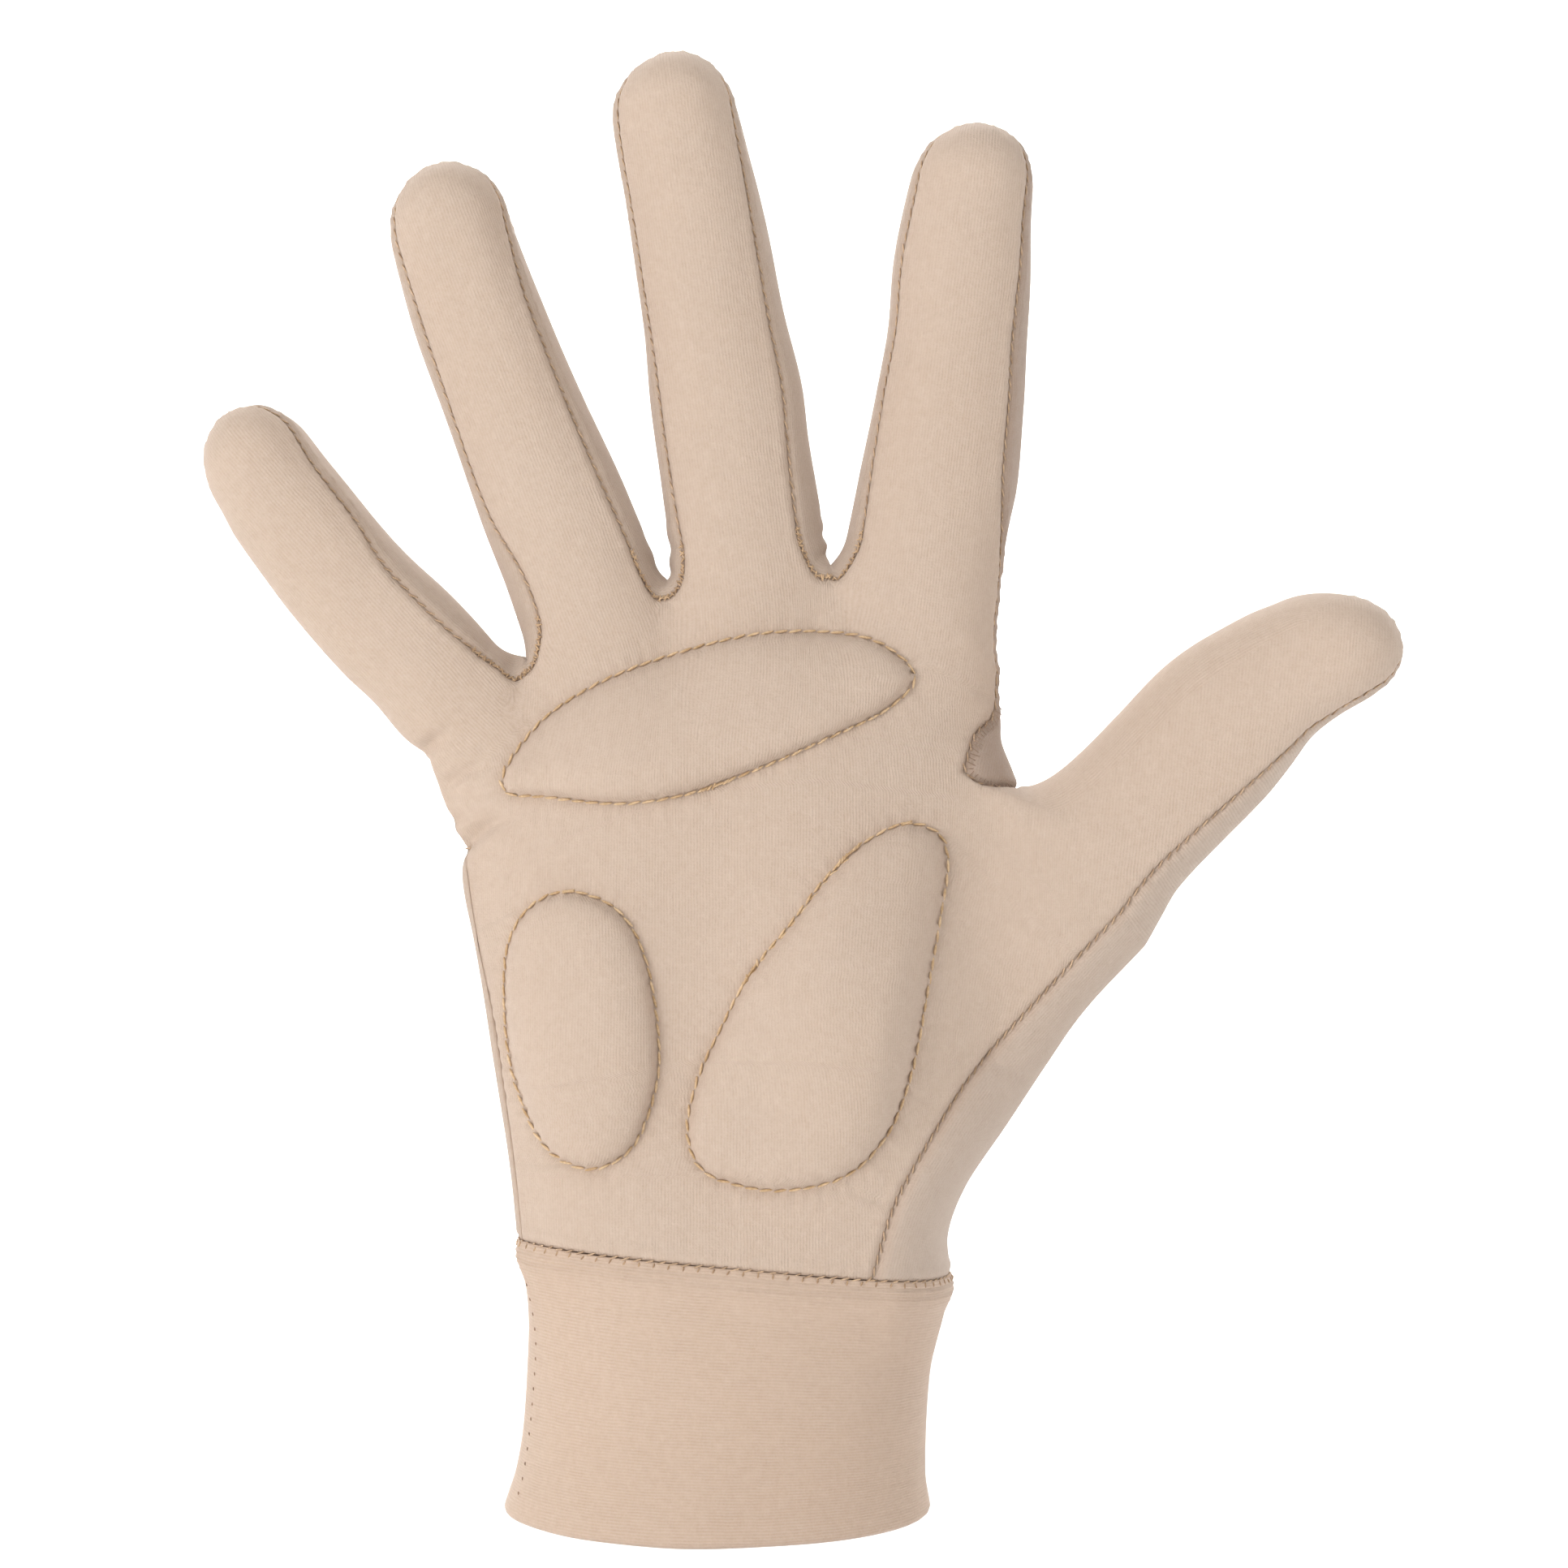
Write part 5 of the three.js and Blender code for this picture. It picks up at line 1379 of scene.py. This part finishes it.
class GLOVE_OT_palm_and_back(bpy.types.Operator):
    """Build the palm panel and the back panel"""

    bl_idname = "glove.palm_and_back"
    bl_label = "Palm and back"

    def execute(self, context):
        add_panel("palm_cloth", "palm_panel", knit("palm knit"))
        # Painted shade: the back's knit is a darker copy of the palm's.
        add_panel("back_cloth", "back_panel", knit("back knit", (-6, -4, -2)))
        return {"FINISHED"}


class GLOVE_OT_side_strips(bpy.types.Operator):
    """Build the strips between the fingers and beside the index finger"""

    bl_idname = "glove.side_strips"
    bl_label = "Side strips"

    def execute(self, context):
        # Painted shade: the side strips' knit is a darker copy of the palm's, as the strips lie in shade
        # between the fingers.
        side = knit("side knit", (-10, -9, -8))
        for web in STRIP_WEBS:
            add_panel(web + "_strip", "fourchette_" + web, side)
        # Painted shade: the gusset's knit is a much darker copy of the palm's.
        add_panel("index_gusset", "thumb_gusset", knit("gusset knit", (-26, -26, -24)))
        return {"FINISHED"}


def cuff_rows():
    """Height share, outward step and inward step of each row of the cuff, round its hem to the inside."""
    def wall_rows(ats, inset):
        return [(at, float(column(CUFF_SECTIONS, at, "out")), inset) for at in ats]

    hem = [
        (HEM_AT - HEM_AT * math.sin(angle), CUFF_SECTIONS[0]["out"], CUFF_WALL / 2 * (1 - math.cos(angle)))
        for angle in np.linspace(0, math.pi, 12)[1:-1]
    ]
    return wall_rows(np.linspace(1, HEM_AT, 130), 0.0) + hem + wall_rows(np.linspace(HEM_AT, 1, 30), CUFF_WALL)


def cuff_row(hand, rim, angle, around, at, out, inset):
    """Points of one row of the cuff, between the palm's rim at the top and an oval at the hem."""
    width, depth = hand.cuff_size
    across = squared(np.cos(angle), FINGER_SQUARENESS) * width / 2
    deep = squared(np.sin(angle), FINGER_SQUARENESS) * depth / 2
    oval = float(smooth((1 - at) * 2.5))
    below = (1 - at) * hand.cuff_height
    away = out - inset
    if inset == 0:
        fine = CUFF_RIDGES
        shown = smooth(below / fine["first"]) * smooth((fine["last"] - below) / fine["fade"])
        ridges = fine["height"] * math.sin(2 * math.pi * (below - fine["start"]) / fine["pitch"]) * float(shown)
        scallop = SCALLOPS["height"] * np.sin(2 * math.pi * around / SCALLOPS["pitch"])
        away = away + (ridges + scallop * math.exp(-((below / SCALLOPS["reach"]) ** 2)))
    lift = mix(HEM_LIFT["front"], HEM_LIFT["side"], np.cos(angle) ** 2) * float(smooth(1 - at / 0.4))
    return np.stack([
        mix(rim[:, 0], across + mix(HEM_SHIFT, CUFF_SHIFT, at), oval) + np.cos(angle) * away,
        mix(rim[:, 1], deep, oval) + np.sin(angle) * away,
        at * hand.seam_height(rim[:, 0]) + lift - (0.12 if at == 1 else 0),
    ], -1)


def sewing_thread(name):
    return thread_material(name, *THREADS[name])


class GLOVE_OT_cuff(bpy.types.Operator):
    """Build the folded cuff"""

    bl_idname = "glove.cuff"
    bl_label = "Cuff"

    def execute(self, context):
        skin = worn_skin()
        hand = skin.hand
        loop = chains(rim_edges(skin.faces))[0][:-1]
        rim = skin.points[loop]
        width, depth = hand.cuff_size
        angle = np.arctan2(rim[:, 1] / depth, (rim[:, 0] - CUFF_SHIFT) / width)
        around = np.concatenate([[0], np.cumsum(np.linalg.norm(np.diff(rim, axis=0), axis=1))])
        table = cuff_rows()
        grid = [cuff_row(hand, rim, angle, around, *row) for row in table]
        cloth = [np.stack([np.full(len(around), at * hand.cuff_height), around], -1) for at, _, _ in table]
        count = len(loop)
        faces, uvs = [], []
        for j in range(len(grid)):
            below = (j + 1) % len(grid)
            for k in range(count):
                after = (k + 1) % count
                faces.append([j * count + k, below * count + k, below * count + after, j * count + after])
                uvs.append([cloth[j][k], cloth[below][k], cloth[below][after], cloth[j][after]])
        points = np.concatenate(grid)
        normals = mesh_normals(points, faces)
        points = points - normals * Skin.unevenness(points)[:, None]
        drops = [(1 - at) * hand.cuff_height for at, _, _ in table]
        # Mask of painted shade along the rows just under the cuff's seam.
        crease = 0.35 * bell(np.repeat(drops, count), 0.4)
        thing = add_mesh("cuff_knit", points, faces, uvs, {"crease": crease})
        finish_piece(thing, "cuff", knit("cuff knit", (2, -1, -3), rib_strength=0.7))
        side = int(np.argmin(np.abs(angle + math.radians(SIDE_SEAM["angle"]))))
        line = [
            k * count + side for k, (at, _, inset) in enumerate(table)
            if inset == 0 and SIDE_SEAM["low"] < at < SIDE_SEAM["high"]
        ]
        run = (points[line] + normals[line] * 0.02, normals[line])
        sew("cuff_side_stitches", [run], sewing_thread("side seam thread"), Pitch=0.0021,
            Length=0.0006, Thickness=0.00028, Turn=0.3, Unevenness=0.3, Seed=9)
        row = next(k for k, drop in enumerate(drops) if drop > 0.35)
        ring = [*range(row * count, (row + 1) * count), row * count]
        run = (points[ring] + normals[ring] * 0.02, normals[ring])
        sew("cuff_stitches", [run], sewing_thread("cuff thread"), Pitch=0.0022,
            Length=0.0009, Thickness=0.0003, Turn=1.35, Unevenness=0.25, Seed=8)
        return {"FINISHED"}


class GLOVE_OT_pads(bpy.types.Operator):
    """Build the foam pads in their pockets"""

    bl_idname = "glove.pads"
    bl_label = "Pads"

    def execute(self, context):
        skin = worn_skin()
        hand = skin.hand
        wall = context.scene.glove_sizes.fabric_wall / MM
        foam = foam_material("pad foam", FOAM_COLOUR)
        front = {i for index in skin.front_indices() for i in index.ravel().tolist()}
        faces = [face for face in skin.pieces["palm_cloth"][0] if all(i in front for i in face)]
        for name, outline in hand.outlines.items():
            flat = skin.points[:, [0, 2]]
            over = ((outline.min(0) < flat) & (flat < outline.max(0))).all(1)
            near = [face for face in faces if all(over[i] for i in face)]
            used = sorted({i for face in near for i in face})
            distance = dict(zip(used, hand.on_outlines(skin.points[used, 0], skin.points[used, 2])[0]))
            inside = [face for face in near if all(distance[i] > 0.35 for i in face)]
            used = sorted({i for face in inside for i in face})
            top = skin.points - skin.normals * (wall + 0.4)
            bottom = skin.points.copy()
            share = np.clip(np.array([distance[i] for i in used]) / hand.pad_edge, 0, 1)
            bottom[used, 1] += hand.pad_height * np.sqrt(1 - (1 - share) ** 2) + wall + 1.5
            places = [[tuple(flat[i]) for i in face] for face in inside]
            points, solid, uvs, _ = closed_sheet(top, bottom, inside, places)
            thing = add_mesh(name + "_foam", points, solid, uvs)
            finish_piece(thing, name, foam)
        return {"FINISHED"}


def runs_near(runs, centre, reach):
    """The stretches of runs that lie near a place. A place at the middle plane stands for any depth."""
    found = []
    for places, outs in runs:
        step = places - centre
        if centre[1] == 0:
            step = step * (1, 0, 1)
        near = np.linalg.norm(step, axis=1) < reach
        starts = np.nonzero(np.diff(np.concatenate([[0], near.astype(int), [0]])))[0]
        for start, end in zip(starts[::2], starts[1::2]):
            if end - start >= SHORTEST_RUN:
                found.append((places[start:end], outs[start:end]))
    return found


def seam_run(skin, indices):
    """Places and outward directions along a run of the skin's points."""
    places, outs = skin.points[indices], skin.normals[indices]
    keep = np.concatenate([[True], np.linalg.norm(np.diff(places, axis=0), axis=1) > 0.02])
    return places[keep], outs[keep]


class GLOVE_OT_seam_stitches(bpy.types.Operator):
    """Sew the seams between the panels and along the cuff"""

    bl_idname = "glove.seam_stitches"
    bl_label = "Seam stitches"

    def execute(self, context):
        skin = worn_skin()
        sewing = context.scene.glove_sewing
        runs = []
        for run in skin.seams:
            places, outs = seam_run(skin, run)
            if len(places) < 12:
                continue
            outs = (outs + np.roll(outs, 1, 0) + np.roll(outs, -1, 0)) / 3
            runs.append((places + outs * 0.16, outs))
        sew("seam_stitches", runs, sewing_thread("seam thread"), Pitch=sewing.pitch * 0.85,
            Length=sewing.pitch * 0.8, Thickness=sewing.thread * 0.7, Turn=0.35, Unevenness=0.14, Seed=5)
        overlock = sewing_thread("overlock thread")
        near = [part for web in STRIP_WEBS for part in runs_near(runs, skin.crotch(web), 8.5)]
        parts = [(places + outs * 0.16, outs) for places, outs in near]
        for k, turn in enumerate((0.95, -1.05)):
            sew("overlock_%d" % (k + 1), parts, overlock, Pitch=0.00085 + 0.0001 * k, Length=0.0013,
                Thickness=0.00025, Turn=turn, Unevenness=0.5, Seed=11 + k)
        # Painted shadow: thin dark strokes across the seam by the thumb's crotch stand for the shade in the
        # cloth's puckers there.
        gusset = skin.crotch("index_thumb")
        pucker_shadows = [
            (places + (0.9, -0.05, 0.1), outs) for places, outs in runs_near(runs, gusset + (1.5, 1, 2), 9.0)
            if places[:, 1].mean() < -1
        ]
        sew("gusset_ticks", pucker_shadows, sewing_thread("gusset puckers"), Pitch=0.00075, Length=0.0021,
            Thickness=0.00014, Turn=1.45, Unevenness=0.22, Seed=21)
        return {"FINISHED"}


class GLOVE_OT_pad_stitches(bpy.types.Operator):
    """Quilt round the pads"""

    bl_idname = "glove.pad_stitches"
    bl_label = "Pad stitches"

    def execute(self, context):
        skin = worn_skin()
        sewing = context.scene.glove_sewing
        front = np.unique(np.concatenate([index.ravel() for index in skin.front_indices()]))
        tree = tree_of(skin.points[front] * (1, 0, 1), front)
        runs = []
        for outline in skin.hand.outlines.values():
            closed = np.vstack([outline, outline[:1]])
            nearest = [[i for _, i, _ in tree.find_n((x, 0, z), 4)] for x, z in closed]
            y = np.array([skin.points[i, 1].mean() for i in nearest])
            outs = np.array([skin.normals[i].mean(0) for i in nearest])
            for _ in range(3):
                y = (np.roll(y[:-1], 1) + y[:-1] + np.roll(y[:-1], -1)) / 3
                y = np.append(y, y[0])
            outs = outs + (0, -1.5, 0)
            outs /= np.linalg.norm(outs, axis=1)[:, None]
            runs.append((np.stack([closed[:, 0], y - 0.12, closed[:, 1]], 1), outs))
        finish = context.scene.glove_finish
        # The quilting thread's darker colour: painted shade of the gaps in the twisted thread.
        dark = [c * f for c, f in zip(finish.thread, (0.84, 0.79, 0.72))]
        thread = thread_material("quilting thread", tuple(finish.thread), dark)
        sew("pad_stitches", runs, thread, Pitch=sewing.pitch, Length=sewing.pitch * 1.02,
            Thickness=sewing.thread * 1.05, Turn=0.12, Unevenness=0.08, Seed=3)
        double = runs_near(runs, DOUBLE_LINE["centre"], DOUBLE_LINE["reach"])
        double = [(places + DOUBLE_LINE["step"], outs) for places, outs in double]
        sew("double_stitches", double, thread, Pitch=sewing.pitch * 1.1, Length=sewing.pitch,
            Thickness=sewing.thread, Turn=-0.2, Unevenness=0.12, Seed=4)
        ends = [part for end in THREAD_ENDS for part in runs_near(runs, end, 2.2)]
        sew("thread_ends", [(places + outs * 0.2, outs) for places, outs in ends], thread, Pitch=0.0006,
            Length=0.0014, Thickness=sewing.thread * 0.9, Turn=0.35, Unevenness=0.55, Seed=6)
        return {"FINISHED"}


class GLOVE_OT_stage(bpy.types.Operator):
    """Set up the floor, the soft lights and the camera"""

    bl_idname = "glove.stage"
    bl_label = "Stage"

    def execute(self, context):
        scene = context.scene
        stage = scene.glove_stage
        turns = FLOOR_TURNS
        angles = [2 * math.pi * k / turns for k in range(turns)]
        points = [(r * math.cos(a), r * math.sin(a), h - FLOOR_DROP) for r, h in FLOOR_PROFILE for a in angles]
        faces = []
        for j in range(0, (len(FLOOR_PROFILE) - 1) * turns, turns):
            for k in range(turns):
                after = (k + 1) % turns
                faces.append((j + k, j + after, j + turns + after, j + turns + k))
        faces.append(tuple(reversed(range(turns))))
        mesh = bpy.data.meshes.new("floor")
        mesh.from_pydata(points, [], faces)
        mesh.flip_normals()
        mesh.shade_smooth()
        paper, wire, shader = new_material("floor paper")
        place = wire.add("ShaderNodeTexCoord").outputs["Object"]
        tone = wire.mix_colour(wire.noise(place, 3.0), (0.93, 0.93, 0.93, 1), (0.95, 0.95, 0.95, 1))
        wire.fill(shader, {"Base Color": tone, "Roughness": 1.0, "Specular IOR Level": 0.0})
        mesh.materials.append(paper)
        floor = bpy.data.objects.new("floor", mesh)
        scene.collection.objects.link(floor)

        world = bpy.data.worlds.new("studio")
        world.use_nodes = True
        background = world.node_tree.nodes["Background"].inputs
        background["Color"].default_value = (1, 1, 1, 1)
        background["Strength"].default_value = WORLD_LIGHT
        scene.world = world
        for row in LAMPS:
            lamp = bpy.data.lights.new(row["name"], "AREA")
            lamp.shape = "DISK"
            lamp.size = row["size"]
            lamp.energy = stage.light * row["share"]
            thing = bpy.data.objects.new(row["name"], lamp)
            thing.visible_camera = False
            thing.location = row["spot"]
            way = Vector(row["aim"]) - Vector(row["spot"])
            thing.rotation_euler = way.to_track_quat("-Z", "Y").to_euler()
            scene.collection.objects.link(thing)
        camera = bpy.data.cameras.new("camera")
        camera.sensor_width = SENSOR_WIDTH
        camera.lens = SENSOR_WIDTH / 2 / (stage.picture_width / 2 / stage.camera_distance)
        eye = bpy.data.objects.new("camera", camera)
        eye.location = (EYE_ACROSS, -stage.camera_distance, EYE_HEIGHT)
        eye.rotation_euler = (math.pi / 2, 0, 0)
        scene.collection.objects.link(eye)
        scene.camera = eye
        scene.view_settings.view_transform = "Standard"
        return {"FINISHED"}


OPERATORS = [
    GLOVE_OT_palm_and_back, GLOVE_OT_side_strips, GLOVE_OT_cuff, GLOVE_OT_pads, GLOVE_OT_seam_stitches,
    GLOVE_OT_pad_stitches, GLOVE_OT_stage,
]


class GLOVE_PT_panel(bpy.types.Panel):
    bl_label = "Padded skating glove"
    bl_idname = "GLOVE_PT_panel"
    bl_space_type = "VIEW_3D"
    bl_region_type = "UI"
    bl_category = "Glove"

    def draw(self, context):
        for group in SETTINGS:
            box = self.layout.box()
            for key in SETTINGS[group].__annotations__:
                box.prop(getattr(context.scene, group), key)
        for operator in OPERATORS:
            self.layout.operator(operator.bl_idname)


SETTINGS = {
    "glove_sizes": GloveSizes, "glove_sewing": GloveSewing, "glove_finish": GloveFinish,
    "glove_stage": GloveStage,
}


def register():
    for group in SETTINGS.values():
        bpy.utils.register_class(group)
    for key, group in SETTINGS.items():
        setattr(bpy.types.Scene, key, bpy.props.PointerProperty(type=group))
    for item in (*OPERATORS, GLOVE_PT_panel):
        bpy.utils.register_class(item)


def unregister():
    for item in (GLOVE_PT_panel, *reversed(OPERATORS)):
        bpy.utils.unregister_class(item)
    for key, group in reversed(SETTINGS.items()):
        delattr(bpy.types.Scene, key)
        bpy.utils.unregister_class(group)


def main():
    register()
    for operator in OPERATORS:
        getattr(bpy.ops.glove, operator.bl_idname.split(".")[1])()


if __name__ == "__main__":
    main()
